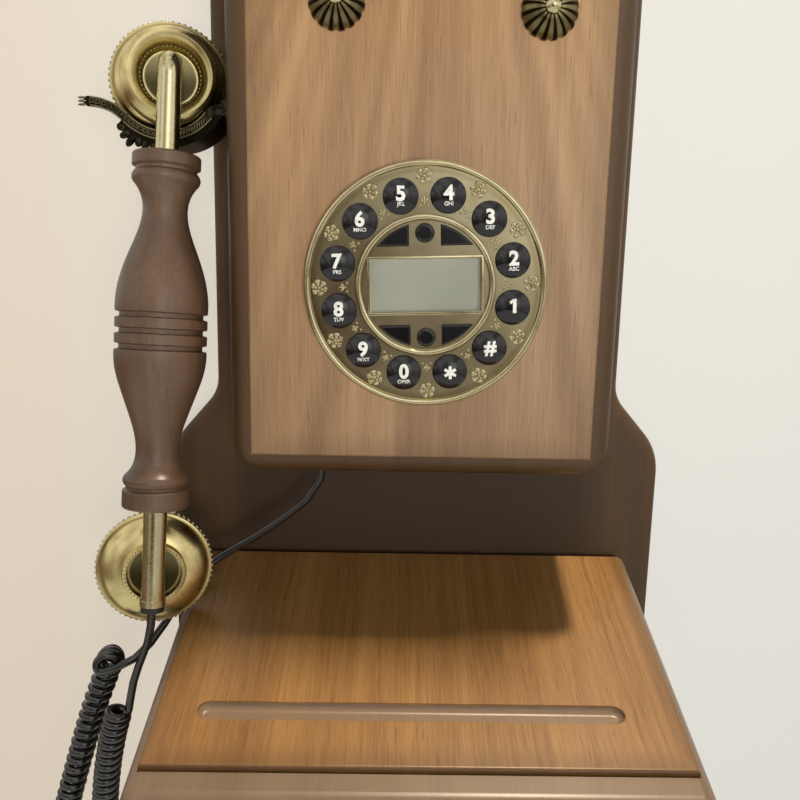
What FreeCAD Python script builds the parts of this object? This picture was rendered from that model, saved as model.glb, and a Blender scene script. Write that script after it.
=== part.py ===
"""Wall telephone with a push-button dial, a cradle hook, a turned handset and a writing shelf.

Frame: X to the viewer's right, the wall is the plane Y = 0 and the front faces -Y, Z is up.
The origin lies on the back of the backboard, midway between its two hanger plates.
"""
import FreeCAD, Part
import math
import os

import Sketcher
from FreeCAD import Placement, Rotation, Vector

SIZES = (
    ("board_thick", 15.0, "backboard thickness"),
    ("board_half", 100.6, "half width of the upper backboard"),
    ("foot_half", 124.5, "half width of the backboard below the flare"),
    ("board_round", 6.0, "round-over of the backboard's front edge"),
    ("shoulder", 8.0, "height at which the crest starts"),
    ("crest", 52.0, "height of the crest's top"),
    ("flare_top", -210.5, "height at which the backboard starts to widen"),
    ("foot_bottom", -398.0, "lower end of the backboard"),
    ("case_half", 82.7, "half width of the case"),
    ("case_top", -6.0, "top of the case, under the cornice"),
    ("case_bottom", -242.7, "underside of the case"),
    ("case_front", 73.5, "front of the case frame, from the wall"),
    ("case_wall", 11.2, "thickness of the case walls"),
    ("case_corner", 14.0, "outer corner radius of the case"),
    ("case_round", 8.0, "round-over of the case's front edge"),
    ("panel_half", 73.5, "half width of the front panel"),
    ("panel_top", -15.0, "upper edge of the front panel"),
    ("panel_bottom", -234.1, "lower edge of the front panel"),
    ("panel_front", 74.5, "face of the front panel, from the wall"),
    ("panel_thick", 9.0, "thickness of the front panel"),
    ("dial_height", -160.4, "height of the dial's centre"),
    ("dial_radius", 50.0, "outer radius of the dial plate"),
    ("dial_turn", 2.2, "turn of the dial, anticlockwise from the front, degrees"),
    ("plate_thick", 2.8, "thickness of the dial plate"),
    ("key_ring", 37.2, "radius of the circle of number keys"),
    ("key_radius", 7.05, "radius of a number key"),
    ("key_travel", 1.8, "travel of every key"),
    ("ring_radius", 28.8, "outer radius of the ring round the display"),
    ("button_arc", 25.3, "radius that trims the four corner buttons"),
    ("window_half", 23.1, "half width of the display window"),
    ("window_rise", 11.25, "half height of the display window"),
    ("slope", 16.9, "slope of the writing shelf, degrees"),
    ("shelf_rise", -297.65, "height of the shelf's surface at shelf_start"),
    ("shelf_start", 9.0, "distance from the wall at which shelf_rise is measured"),
    ("shelf_half", 110.3, "half width of the shelf"),
    ("shelf_front", 152.0, "front of the shelf, from the wall"),
    ("shelf_bottom", -372.0, "underside of the shelf"),
    ("slab_half", 105.5, "half width of the writing slab"),
    ("slab_reach", 137.7, "slab's front edge, along the slope from shelf_start"),
    ("slab_thick", 8.0, "thickness of the writing slab"),
    ("slab_proud", 1.0, "height of the slab over the slope plane"),
    ("grip_length", 147.5, "length of the turned grip"),
    ("grip_radius", 18.8, "largest radius of the grip"),
    ("rod_radius", 4.9, "radius of the handset's tube"),
    ("cup_radius", 25.4, "radius of both handset cups over their beads"),
    ("ear_height", 109.5, "receiver cup's centre above the grip's middle"),
    ("mouth_height", -105.5, "transmitter cup's centre below the grip's middle"),
    ("rod_end", -116.0, "lower end of the tube from the grip's middle"),
    ("lift", 60.0, "height by which the handset lifts off"),
    ("cord_thick", 3.6, "diameter of the cord"),
    ("curl_radius", 4.4, "radius of the cord's curls at their middle line"),
)

doc = FreeCAD.newDocument("telephone")
sheet = doc.addObject("Spreadsheet::Sheet", "Sizes")
parts = []


class Dim:
    """A size that knows its value and the sheet expression it comes from."""

    def __init__(self, number, text):
        self.number = number
        self.text = text

    def __add__(self, other):
        return combine(self, "+", other)

    def __radd__(self, other):
        return combine(other, "+", self)

    def __sub__(self, other):
        return combine(self, "-", other)

    def __rsub__(self, other):
        return combine(other, "-", self)

    def __mul__(self, other):
        return combine(self, "*", other)

    def __rmul__(self, other):
        return combine(other, "*", self)

    def __neg__(self):
        return combine(0.0, "-", self)

    def __float__(self):
        return self.number


def text_of(size):
    return size.text if isinstance(size, Dim) else "(%.6g)" % size


def combine(left, sign, right):
    a, b = float(left), float(right)
    number = {"+": a + b, "-": a - b, "*": a * b}[sign]
    return Dim(number, "(%s %s %s)" % (text_of(left), sign, text_of(right)))


class SizeTable:
    """Fills the sheet and hands each driving size back by its name."""

    def __init__(self):
        for row, (alias, number, note) in enumerate(SIZES, start=1):
            sheet.set("A%d" % row, note)
            sheet.set("B%d" % row, "%g" % number)
            sheet.setAlias("B%d" % row, alias)
            setattr(self, alias, Dim(number, "Sizes." + alias))


s = SizeTable()
doc.recompute()


# ---------------------------------------------------------------- helpers

def bind(thing, prop, size):
    """Set a numeric property and tie it to the sheet where the size comes from it."""
    if isinstance(size, Dim):
        thing.setExpression(prop, size.text)
    elif "." not in prop:
        setattr(thing, prop, float(size))


def new_body(label):
    body = doc.addObject("PartDesign::Body", label)
    body.Label = label
    parts.append(body)
    return body


def sketch_on(body, role, offset=0.0):
    """A sketch on one of the body's origin planes, moved along the plane's normal."""
    sketch = body.newObject("Sketcher::SketchObject", body.Name + "_outline")
    plane = next(p for p in body.Origin.OriginFeatures if p.Role == role)
    sketch.AttachmentSupport = [(plane, "")]
    sketch.MapMode = "FlatFace"
    sketch.AttachmentOffset = Placement(Vector(0, 0, float(offset)), Rotation())
    bind(sketch, "AttachmentOffset.Base.z", offset)
    return sketch


def tie(sketch, kind, size, *where):
    index = sketch.addConstraint(Sketcher.Constraint(kind, *where, float(size)))
    if isinstance(size, Dim):
        sketch.setExpression("Constraints[%d]" % index, size.text)


def pin_point(sketch, geometry, end, x, y):
    tie(sketch, "DistanceX", x, -1, 1, geometry, end)
    tie(sketch, "DistanceY", y, -1, 1, geometry, end)


def polygon(sketch, points):
    """A closed outline of straight lines through the given points."""
    flat = [Vector(float(x), float(y), 0) for x, y in points]
    first = sketch.GeometryCount
    for a, b in zip(flat, flat[1:] + flat[:1]):
        sketch.addGeometry(Part.LineSegment(a, b), False)
    count = len(points)
    for i in range(count):
        after = first + (i + 1) % count
        sketch.addConstraint(Sketcher.Constraint("Coincident", first + i, 2, after, 1))
    for i, (x, y) in enumerate(points):
        pin_point(sketch, first + i, 1, x, y)


def rectangle(sketch, left, right, low, high):
    polygon(sketch, [(left, low), (right, low), (right, high), (left, high)])


def circle(sketch, x, y, radius):
    shape = Part.Circle(Vector(float(x), float(y), 0), Vector(0, 0, 1), float(radius))
    index = sketch.addGeometry(shape, False)
    pin_point(sketch, index, 3, x, y)
    tie(sketch, "Radius", radius, index)


def curves(sketch, edges):
    """An outline of lines and curves that already meet end to end."""
    first = sketch.GeometryCount
    for edge in edges:
        sketch.addGeometry(edge, False)
    count = len(edges)
    for i in range(count):
        here, after = first + i, first + (i + 1) % count
        pairs = [(a, b) for a in (1, 2) for b in (1, 2)]
        end, start = min(pairs, key=lambda ab: (sketch.getPoint(here, ab[0])
                                                - sketch.getPoint(after, ab[1])).Length)
        sketch.addConstraint(Sketcher.Constraint("Coincident", here, end, after, start))
    for i in range(count):
        sketch.addConstraint(Sketcher.Constraint("Block", first + i))


def pad(body, sketch, length, both_ways=False):
    feature = body.newObject("PartDesign::Pad", body.Name + "_pad")
    feature.Profile = sketch
    bind(feature, "Length", length)
    feature.Midplane = both_ways
    return feature


def pocket(body, sketch, depth):
    """Cut from the sketch towards the back of its plane; the volume has to drop."""
    doc.recompute()
    before = body.Shape.Volume
    feature = body.newObject("PartDesign::Pocket", body.Name + "_pocket")
    feature.Profile = sketch
    bind(feature, "Length", depth)
    doc.recompute()
    if body.Shape.Volume >= before - 0.01:
        raise RuntimeError("pocket cuts nothing in %s" % body.Label)
    return feature


def revolve(body, sketch, axis):
    feature = body.newObject("PartDesign::Revolution", body.Name + "_turned")
    feature.Profile = sketch
    feature.ReferenceAxis = (sketch, [axis])
    feature.Angle = 360
    return feature


def around(body, feature, sketch, count):
    """Repeat a feature round its own sketch's normal."""
    pattern = body.newObject("PartDesign::PolarPattern", body.Name + "_ring")
    pattern.Originals = [feature]
    pattern.Axis = (sketch, ["N_Axis"])
    pattern.Angle = 360
    pattern.Occurrences = count
    body.Tip = pattern
    return pattern


def round_edges(body, radius, wanted):
    """Fillet the edges of the body's last feature that the test picks."""
    doc.recompute()
    base = body.Tip
    names = ["Edge%d" % (i + 1) for i, e in enumerate(base.Shape.Edges) if wanted(e)]
    if not names:
        raise RuntimeError("no edge to round on " + body.Label)
    feature = body.newObject("PartDesign::Fillet", body.Name + "_fillet")
    feature.Base = (base, names)
    bind(feature, "Radius", radius)
    return feature


def ends(edge):
    return [v.Point for v in edge.Vertexes]


def lies_at(axis, place, slack=0.02):
    """A test for edges whose every point has the given coordinate."""
    wanted = float(place)

    def test(edge):
        points = ends(edge) + [edge.valueAt((edge.FirstParameter + edge.LastParameter) / 2)]
        return all(abs(getattr(p, axis) - wanted) < slack for p in points)
    return test


def along(axis, least):
    """A test for straight edges that run along an axis."""
    def test(edge):
        if not isinstance(edge.Curve, Part.Line):
            return False
        step = ends(edge)[1] - ends(edge)[0]
        return abs(getattr(step, axis)) > least and abs(abs(getattr(step, axis)) - step.Length) < 1e-3
    return test


def place(body, x, y, z, rotation=None):
    body.Placement = Placement(Vector(float(x), float(y), float(z)), rotation or Rotation())
    for name, size in (("x", x), ("y", y), ("z", z)):
        bind(body, "Placement.Base." + name, size)


def arc(start, middle, end):
    return Part.Arc(Vector(*start), Vector(*middle), Vector(*end))


def line(start, end):
    return Part.LineSegment(Vector(*start), Vector(*end))


def primitive(kind, label, spot=(0, 0, 0), turn=None, **sizes):
    """A Part primitive with its sizes tied to the sheet."""
    thing = doc.addObject("Part::" + kind, label)
    for name, size in sizes.items():
        bind(thing, name, size)
    thing.Placement = Placement(Vector(*[float(c) for c in spot]), turn or Rotation())
    for name, size in zip(("x", "y", "z"), spot):
        bind(thing, "Placement.Base." + name, size)
    return thing


def join(label, kind, pieces):
    """A boolean or compound of several primitives: MultiFuse, Cut or Compound."""
    result = doc.addObject("Part::" + kind, label)
    if kind == "Cut":
        result.Base, result.Tool = pieces
    elif kind == "Compound":
        result.Links = pieces
    else:
        result.Shapes = pieces
    return result


def keep(thing, label):
    thing.Label = label
    parts.append(thing)


def solid_part(label, shape, placement=None):
    """A node whose shape is worked out here and not by a feature."""
    thing = doc.addObject("Part::Feature", label)
    thing.Label = label
    thing.Shape = shape
    if placement:
        thing.Placement = placement
    parts.append(thing)
    return thing


FACING = Rotation(Vector(1, 0, 0), 90)      # turns a primitive's Z axis to point at the viewer


# ---------------------------------------------------------------- woodwork

FLARE_TURN = math.radians(41)               # steepest slope of the flare, from the vertical
FLARE_HOLLOW = 18.0                         # radius where the flare starts
FLARE_SWELL = 30.0                          # radius where the flare ends


def flare_edges():
    """Right-hand flare from the upper edge down to the wide part: hollow, straight, swell."""
    top = (float(s.board_half), float(s.flare_top))
    half = FLARE_TURN / 2
    sin, cos = math.sin(FLARE_TURN), math.cos(FLARE_TURN)
    a = (top[0] + FLARE_HOLLOW * (1 - cos), top[1] - FLARE_HOLLOW * sin)
    a_mid = (top[0] + FLARE_HOLLOW * (1 - math.cos(half)), top[1] - FLARE_HOLLOW * math.sin(half))
    run = (float(s.foot_half) - a[0] - FLARE_SWELL * (1 - cos)) / sin
    b = (a[0] + run * sin, a[1] - run * cos)
    c = (float(s.foot_half), b[1] - FLARE_SWELL * sin)
    b_mid = (c[0] - FLARE_SWELL * (1 - math.cos(half)), c[1] + FLARE_SWELL * math.sin(half))
    return top, a_mid, a, b, b_mid, c


def mirrored(point):
    return (-point[0], point[1])


def backboard_outline():
    """Crest, straight sides, flares and a foot with round corners, clockwise from the left."""
    top, a_mid, a, b, b_mid, c = flare_edges()
    foot, foot_radius = float(s.foot_bottom), 26.0
    shoulder, crest = float(s.shoulder), float(s.crest)
    scoop = 20.0
    diagonal = scoop * math.sqrt(0.5)
    bevel = foot_radius * (1 - math.sqrt(0.5))
    corner = (c[0] - foot_radius, foot)
    corner_mid = (c[0] - bevel, foot + bevel)
    side_end = (c[0], foot + foot_radius)
    hip = (top[0], shoulder)
    hip_mid = (top[0] - diagonal, shoulder + scoop - diagonal)
    ledge = (top[0] - scoop, shoulder + scoop)

    def p(point):
        return (point[0], point[1], 0)

    right = [line(p(hip), p(top)), arc(p(top), p(a_mid), p(a)), line(p(a), p(b)),
             arc(p(b), p(b_mid), p(c)), line(p(c), p(side_end)),
             arc(p(side_end), p(corner_mid), p(corner))]
    left = [arc(p(mirrored(corner)), p(mirrored(corner_mid)), p(mirrored(side_end))),
            line(p(mirrored(side_end)), p(mirrored(c))),
            arc(p(mirrored(c)), p(mirrored(b_mid)), p(mirrored(b))),
            line(p(mirrored(b)), p(mirrored(a))),
            arc(p(mirrored(a)), p(mirrored(a_mid)), p(mirrored(top))),
            line(p(mirrored(top)), p(mirrored(hip)))]
    crest_edges = [arc(p(mirrored(hip)), p(mirrored(hip_mid)), p(mirrored(ledge))),
                   arc(p(mirrored(ledge)), (0, crest, 0), p(ledge)),
                   arc(p(ledge), p(hip_mid), p(hip))]
    return right + [line(p(corner), p(mirrored(corner)))] + left + crest_edges


HANGERS = (-60.0, 60.0)                     # the hanger plates, across the backboard
HANGER_HALF, HANGER_RISE = 20.0, 11.0       # half width and half height of a hanger plate
HANGER_THICK, KEYHOLE = 1.5, 4.6            # its thickness and the keyhole's radius
SCREW = 2.0                                 # radius of the wood screws' shanks
SCREW_SPOTS = [(x, z) for x in (-77.1, 77.1) for z in (-32.0, -222.0)] + \
              [(x, z) for x in (-104.2, 104.2) for z in (-330.0, -356.0)]
TAIL_HOLE = (-44.0, 41.0)                   # cord hole in the case's underside: X, distance from wall
JACK = (50.0, 44.0)                         # line jack in the case's underside: the same


def make_backboard():
    body = new_body("backboard")
    curves_sketch = sketch_on(body, "XZ_Plane")
    curves(curves_sketch, backboard_outline())
    pad(body, curves_sketch, s.board_thick)
    doc.recompute()
    round_edges(body, s.board_round, lies_at("y", -s.board_thick))
    for x in HANGERS:
        recess = sketch_on(body, "XZ_Plane", HANGER_THICK)
        rectangle(recess, x - HANGER_HALF, x + HANGER_HALF, -HANGER_RISE, HANGER_RISE)
        pocket(body, recess, HANGER_THICK)
        room = sketch_on(body, "XZ_Plane", HANGER_THICK + 8.0)
        rectangle(room, x - 7.0, x + 7.0, -6.5, 9.5)
        pocket(body, room, 8.0)
    holes = sketch_on(body, "XZ_Plane", s.board_thick)
    for x, z in SCREW_SPOTS:
        circle(holes, x, z, SCREW + 0.05)
    pocket(body, holes, s.board_thick)
    sinks = sketch_on(body, "XZ_Plane", 3.0)
    for x, z in SCREW_SPOTS:
        circle(sinks, x, z, 4.3)
    pocket(body, sinks, 3.0)


def make_case_frame():
    """Upper case: four walls, open at the back, with a rebate for the front panel."""
    body = new_body("case_frame")
    outer = sketch_on(body, "XZ_Plane", s.board_thick)
    rectangle(outer, -s.case_half, s.case_half, s.case_bottom, s.case_top)
    pad(body, outer, s.case_front - s.board_thick)
    doc.recompute()
    low = float(s.case_bottom)
    round_edges(body, s.case_corner, lambda e: along("y", 5)(e) and abs(ends(e)[0].z - low) < 0.1)
    doc.recompute()

    def front_rim(edge):
        return lies_at("y", -s.case_front)(edge) and not lies_at("z", s.case_top)(edge)

    round_edges(body, s.case_round, front_rim)
    doc.recompute()
    room = sketch_on(body, "XZ_Plane", s.panel_front - s.panel_thick)
    inner = s.case_half - s.case_wall
    rectangle(room, -inner, inner, s.case_bottom + s.case_wall, s.case_top - 11.0)
    pocket(body, room, s.panel_front - s.panel_thick - s.board_thick)
    rebate = sketch_on(body, "XZ_Plane", s.case_front)
    rectangle(rebate, -s.panel_half, s.panel_half, s.panel_bottom, s.panel_top)
    pocket(body, rebate, s.case_front - s.panel_front + s.panel_thick)
    slot = sketch_on(body, "YZ_Plane", s.case_wall - s.case_half)
    rectangle(slot, -52.5, -38.5, ARM_HEIGHT - 5.5, ARM_HEIGHT + 8.5)
    pocket(body, slot, s.case_wall)
    under = sketch_on(body, "XY_Plane", s.case_bottom + s.case_wall)
    circle(under, TAIL_HOLE[0], -TAIL_HOLE[1], 5.05)
    rectangle(under, JACK[0] - 8.1, JACK[0] + 8.1, -JACK[1] - 7.1, -JACK[1] + 7.1)
    pocket(body, under, s.case_wall)
    pilots = sketch_on(body, "XZ_Plane", 37.0)
    for x, z in SCREW_SPOTS[:4]:
        circle(pilots, x, z, SCREW + 0.05)
    pocket(body, pilots, 37.0 - s.board_thick)


BELLS = (("left", -37.3, -51.3), ("right", 46.0, -53.1))
BELL_RADIUS, BELL_RISE = 11.2, 7.0
BELL_FLUTES = 16


def make_front_panel():
    body = new_body("front_panel")
    outline = sketch_on(body, "XZ_Plane", s.panel_front - s.panel_thick)
    rectangle(outline, -s.panel_half, s.panel_half, s.panel_bottom, s.panel_top)
    circle(outline, 0.0, s.dial_height, s.dial_radius - 2.8)
    for _, x, z in BELLS:
        circle(outline, x, z, 1.55)
    pad(body, outline, s.panel_thick)
    doc.recompute()
    half = float(s.panel_half)

    def rim(edge):
        if not lies_at("y", -s.panel_front)(edge):
            return False
        return all(abs(abs(p.x) - half) < 0.1 or p.z > float(s.panel_top) - 0.1
                   or p.z < float(s.panel_bottom) + 0.1 for p in ends(edge))
    round_edges(body, 0.9, rim)


def make_cornice():
    """Moulded cap over the case: a narrow neck under a wider slab with round edges."""
    body = new_body("cornice")
    neck = sketch_on(body, "XY_Plane", s.case_top)
    rectangle(neck, -s.case_half - 2.0, s.case_half + 2.0, -s.case_front - 3.0, -s.board_thick)
    pad(body, neck, 5.0)
    cap = sketch_on(body, "XY_Plane", s.case_top + 5.0)
    rectangle(cap, -s.case_half - 9.0, s.case_half + 9.0, -s.case_front - 10.0, -s.board_thick)
    pad(body, cap, 11.0)
    doc.recompute()
    back = -float(s.board_thick)
    top = float(s.case_top) + 16.0

    def cap_rim(edge):
        high = all(abs(p.z - top) < 0.05 for p in ends(edge))
        return high and not all(abs(p.y - back) < 0.05 for p in ends(edge))
    round_edges(body, 5.0, cap_rim)


# ---------------------------------------------------------------- writing shelf

def shelf_top(distance, lift):
    """Height of the shelf's sloping plane at a distance from the wall."""
    fall = math.tan(math.radians(float(s.slope)))
    return s.shelf_rise + lift - (distance - s.shelf_start) * fall


def slope_frame():
    tilt = Rotation(Vector(1, 0, 0), float(s.slope))
    return Placement(Vector(0, -float(s.shelf_start), float(s.shelf_rise)), tilt)


FRAME_DROP = -1.6                           # the frame's top lies this far under the slope plane
GROOVE_NEAR, GROOVE_FAR = 106.8, 116.0      # the pen groove, down the slope
GROOVE_LEFT, GROOVE_RIGHT = -89.1, 83.4     # its ends
GROOVE_DEEP = 3.2


def make_shelf_frame():
    """Four rails round the shelf, with a rebate for the writing slab."""
    body = new_body("shelf_frame")
    side = sketch_on(body, "YZ_Plane")
    polygon(side, [(-s.board_thick, shelf_top(s.board_thick, FRAME_DROP)),
                   (-s.shelf_front, shelf_top(s.shelf_front, FRAME_DROP)),
                   (-s.shelf_front, s.shelf_bottom), (-s.board_thick, s.shelf_bottom)])
    pad(body, side, 2 * s.shelf_half, both_ways=True)
    doc.recompute()
    half, front = float(s.shelf_half), -float(s.shelf_front)

    def rim(edge):
        a, b = ends(edge)
        sides = abs(abs(a.x) - half) < 0.05 and abs(a.x - b.x) < 0.05
        sloping = sides and abs(a.z - b.z) > 20 and abs(a.y - b.y) > 20
        leading = all(abs(p.y - front) < 0.05 for p in (a, b))
        return sloping or leading
    round_edges(body, 6.0, rim)
    doc.recompute()
    room = sketch_on(body, "XY_Plane", shelf_top(s.board_thick, 5.0))
    rectangle(room, -98.0, 98.0, -s.shelf_front + 14.0, -s.board_thick - 11.0)
    pocket(body, room, shelf_top(s.board_thick, 5.0) - s.shelf_bottom)
    rebate = sketch_on(body, "XY_Plane")
    rebate.AttachmentOffset = slope_frame()
    rectangle(rebate, -s.slab_half - 0.3, s.slab_half + 0.3, -s.slab_reach - 0.3, 0.0)
    cut = pocket(body, rebate, s.slab_thick - s.slab_proud)
    pilots = sketch_on(body, "XZ_Plane", 37.0)
    for x, z in SCREW_SPOTS[4:]:
        circle(pilots, x, z, SCREW + 0.05)
    pocket(body, pilots, 37.0 - s.board_thick)


def make_writing_slab():
    """Veneered slab on the slope with a round-ended pen groove near its front edge."""
    body = new_body("writing_slab")
    outline = sketch_on(body, "XY_Plane", s.slab_proud - s.slab_thick)
    rectangle(outline, -s.slab_half, s.slab_half, -s.slab_reach, -9.0)
    pad(body, outline, s.slab_thick)
    doc.recompute()
    round_edges(body, 1.4, lies_at("z", s.slab_proud))
    doc.recompute()
    groove = sketch_on(body, "XY_Plane", s.slab_proud)
    radius = (GROOVE_FAR - GROOVE_NEAR) / 2
    middle = -(GROOVE_FAR + GROOVE_NEAR) / 2
    left, right = GROOVE_LEFT + radius, GROOVE_RIGHT - radius
    curves(groove, [line((left, middle + radius, 0), (right, middle + radius, 0)),
                    arc((right, middle + radius, 0), (right + radius, middle, 0),
                        (right, middle - radius, 0)),
                    line((right, middle - radius, 0), (left, middle - radius, 0)),
                    arc((left, middle - radius, 0), (left - radius, middle, 0),
                        (left, middle + radius, 0))])
    pocket(body, groove, GROOVE_DEEP)
    round_edges(body, 3.0, lies_at("z", s.slab_proud - GROOVE_DEEP))
    body.Placement = slope_frame()


def make_shelf_floor():
    body = new_body("shelf_floor")
    outline = sketch_on(body, "XY_Plane", s.shelf_bottom)
    rectangle(outline, -97.9, 97.9, -s.shelf_front + 14.1, -s.board_thick - 11.1)
    pad(body, outline, 4.0)


# ---------------------------------------------------------------- hanging and screws

def make_hanger_plates():
    """Two steel plates with keyholes, flush with the backboard's back."""
    plates = []
    for i, x in enumerate(HANGERS):
        plate = primitive("Box", "hanger_blank_%d" % i, (x - HANGER_HALF + 0.1, -HANGER_THICK, -HANGER_RISE + 0.1),
                          Length=2 * HANGER_HALF - 0.2, Width=HANGER_THICK, Height=2 * HANGER_RISE - 0.2)
        hole = primitive("Cylinder", "keyhole_%d" % i, (x, 1.0, -1.4), FACING,
                         Radius=KEYHOLE, Height=HANGER_THICK + 2)
        slot = primitive("Box", "keyhole_slot_%d" % i, (x - 2.3, -HANGER_THICK - 1, -1.4),
                         Length=4.6, Width=HANGER_THICK + 2, Height=8.6)
        tools = [hole, slot]
        for n, side in enumerate((-15.0, 15.0)):
            tools.append(primitive("Cylinder", "hanger_screw_hole_%d_%d" % (i, n), (x + side, 1.0, 0.0),
                                   FACING, Radius=1.65, Height=HANGER_THICK + 2))
        plates.append(join("hanger_%d" % i, "Cut", [plate, join("keyhole_cut_%d" % i, "MultiFuse", tools)]))
    keep(join("hanger_plates_pair", "Compound", plates), "hanger_plates")


def screw_shape(spot, head, length, shank, out):
    """A countersunk screw pointing away from the wall, its head's face at the given distance."""
    x, z = spot
    nose = Vector(0, -1, 0)
    base = Vector(x, -out, z)
    cone = Part.makeCone(head, shank, head - shank, base, nose)
    body = Part.makeCylinder(shank, length - shank, base, nose)
    tip = Part.makeCone(shank, 0.3, shank, base + nose * (length - shank), nose)
    return cone.fuse([body, tip]).removeSplitter()


def make_screws():
    long_ones = [screw_shape(spot, 4.0, 34.0, SCREW, 0.6) for spot in SCREW_SPOTS]
    solid_part("case_screws", Part.makeCompound(long_ones))


# ---------------------------------------------------------------- bells

def make_bell(side, x, z):
    """Small fluted bell dome on the front panel, held by its centre screw."""
    body = new_body("bell_" + side)
    profile = sketch_on(body, "YZ_Plane")
    rim, hub = BELL_RADIUS, 3.6
    curves(profile, [line((0, 1.6, 0), (0, rim, 0)), line((0, rim, 0), (-1.6, rim, 0)),
                     arc((-1.6, rim, 0), (-5.0, 8.8, 0), (-BELL_RISE, hub, 0)),
                     line((-BELL_RISE, hub, 0), (-BELL_RISE, 1.6, 0)),
                     line((-BELL_RISE, 1.6, 0), (0, 1.6, 0))])
    revolve(body, profile, "H_Axis")
    doc.recompute()
    notch = sketch_on(body, "XZ_Plane", BELL_RISE + 1)
    circle(notch, 0.0, BELL_RADIUS + 0.7, 1.35)
    cut = pocket(body, notch, BELL_RISE + 2)
    around(body, cut, notch, BELL_FLUTES)
    place(body, x, -s.panel_front, z)


def make_bell_screws():
    """Bright domed screws through the bells into the front panel."""
    screws = []
    for _, x, z in BELLS:
        nose = Vector(0, -1, 0)
        seat = Vector(x, -float(s.panel_front) - BELL_RISE, z)
        shank = Part.makeCylinder(1.5, BELL_RISE + 8.0, seat, Vector(0, 1, 0))
        head = Part.makeCylinder(2.9, 1.2, seat, nose)
        crown = Part.makeSphere(3.6, seat + nose * -0.9).common(Part.makeCylinder(2.9, 4.0, seat + nose * 1.2, nose))
        screws.append(shank.fuse([head, crown]).removeSplitter())
    solid_part("bell_screws", Part.makeCompound(screws))


# ---------------------------------------------------------------- dial

KEY_NAMES = ("4", "3", "2", "1", "hash", "star", "0", "9", "8", "7", "6", "5")
KEY_GAP = 0.25                              # clearance between a key and its hole
FLANGE = 0.45                               # how far a key's flange reaches under the plate
KEY_FOOT, KEY_SEAT = 73.2, 74.2             # a key's underside and its flange's top, from the wall
WEDGE_SIDE, WEDGE_FOOT = 6.7, 16.3          # straight sides of a corner button, from the dial's centre
ROUND_BUTTON, ROUND_OFFSET = 3.75, 21.3     # radius and distance of the two round buttons
CORNERS = (("top_right", 1, 1), ("bottom_right", 1, -1), ("bottom_left", -1, -1), ("top_left", -1, 1))


def dial_turned():
    """The dial's own placement: centred on the case and turned a little anticlockwise."""
    return Placement(Vector(0, 0, float(s.dial_height)), Rotation(Vector(0, 1, 0), -float(s.dial_turn)))


def wedge(grow, sx, sy):
    """Outline of a corner button: two straight sides and an arc of the ring round the display."""
    side, foot, rim = WEDGE_SIDE - grow, WEDGE_FOOT - grow, float(s.button_arc) + grow
    low = (math.sqrt(rim ** 2 - foot ** 2), foot)
    high = (side, math.sqrt(rim ** 2 - side ** 2))
    turn = (math.atan2(low[1], low[0]) + math.atan2(high[1], high[0])) / 2
    middle = (rim * math.cos(turn), rim * math.sin(turn))

    def p(point):
        return (sx * point[0], sy * point[1], 0)
    return [line(p((side, foot)), p(low)), arc(p(low), p(middle), p(high)),
            line(p(high), p((side, foot)))]


def make_dial_plate():
    """Brass plate with a raised rim, a ring round the display and a hole for each key."""
    body = new_body("dial_plate")
    disc = sketch_on(body, "XZ_Plane", s.panel_front)
    circle(disc, 0.0, 0.0, s.dial_radius)
    pad(body, disc, s.plate_thick)
    top = s.panel_front + s.plate_thick
    for outer, inner, rise in ((s.dial_radius, s.dial_radius - 2.2, 1.3),
                               (s.ring_radius, s.ring_radius - 2.3, 1.6)):
        ring = sketch_on(body, "XZ_Plane", top - 0.2)
        circle(ring, 0.0, 0.0, outer)
        circle(ring, 0.0, 0.0, inner)
        pad(body, ring, rise + 0.2)
    bezel = sketch_on(body, "XZ_Plane", top - 0.2)
    rectangle(bezel, -s.window_half - 1.2, s.window_half + 1.2, -s.window_rise - 1.2, s.window_rise + 1.2)
    pad(body, bezel, 0.9)
    doc.recompute()
    hole = sketch_on(body, "XZ_Plane", s.panel_front + 6.0)
    window = sketch_on(body, "XZ_Plane", s.panel_front + 6.0)
    rectangle(window, -s.window_half, s.window_half, -s.window_rise, s.window_rise)
    for sign in (1, -1):
        circle(window, 0.0, sign * ROUND_OFFSET, ROUND_BUTTON + KEY_GAP)
    pocket(body, window, 6.0)
    corners = sketch_on(body, "XZ_Plane", s.panel_front + 6.0)
    for _, sx, sy in CORNERS:
        curves(corners, wedge(KEY_GAP, sx, sy))
    pocket(body, corners, 6.0)
    first = math.radians(75)
    circle(hole, s.key_ring * math.cos(first), s.key_ring * math.sin(first), s.key_radius + KEY_GAP)
    cut = pocket(body, hole, 6.0)
    around(body, cut, hole, len(KEY_NAMES))
    body.Placement = dial_turned()


def make_number_key(name, angle):
    """Domed key with a flange that holds it under the plate; angle is clockwise from the top."""
    body = new_body("key_" + name)
    profile = sketch_on(body, "YZ_Plane")
    radius = float(s.key_radius)
    edge, crown = 78.6, 81.0
    rise = crown - edge
    ball = (radius ** 2 + rise ** 2) / (2 * rise)
    half = math.asin(radius / ball) / 2
    middle = (-(crown - ball * (1 - math.cos(half))), ball * math.sin(half), 0)
    lip = radius + KEY_GAP + FLANGE
    curves(profile, [line((-KEY_FOOT, 0, 0), (-KEY_FOOT, lip, 0)),
                     line((-KEY_FOOT, lip, 0), (-KEY_SEAT, lip, 0)),
                     line((-KEY_SEAT, lip, 0), (-KEY_SEAT, radius, 0)),
                     line((-KEY_SEAT, radius, 0), (-edge, radius, 0)),
                     arc((-edge, radius, 0), middle, (-crown, 0, 0)),
                     line((-crown, 0, 0), (-KEY_FOOT, 0, 0))])
    revolve(body, profile, "H_Axis")
    turn = math.radians(angle) - math.radians(float(s.dial_turn))
    place(body, s.key_ring * math.sin(turn), 0.0, s.dial_height + s.key_ring * math.cos(turn))


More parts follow.
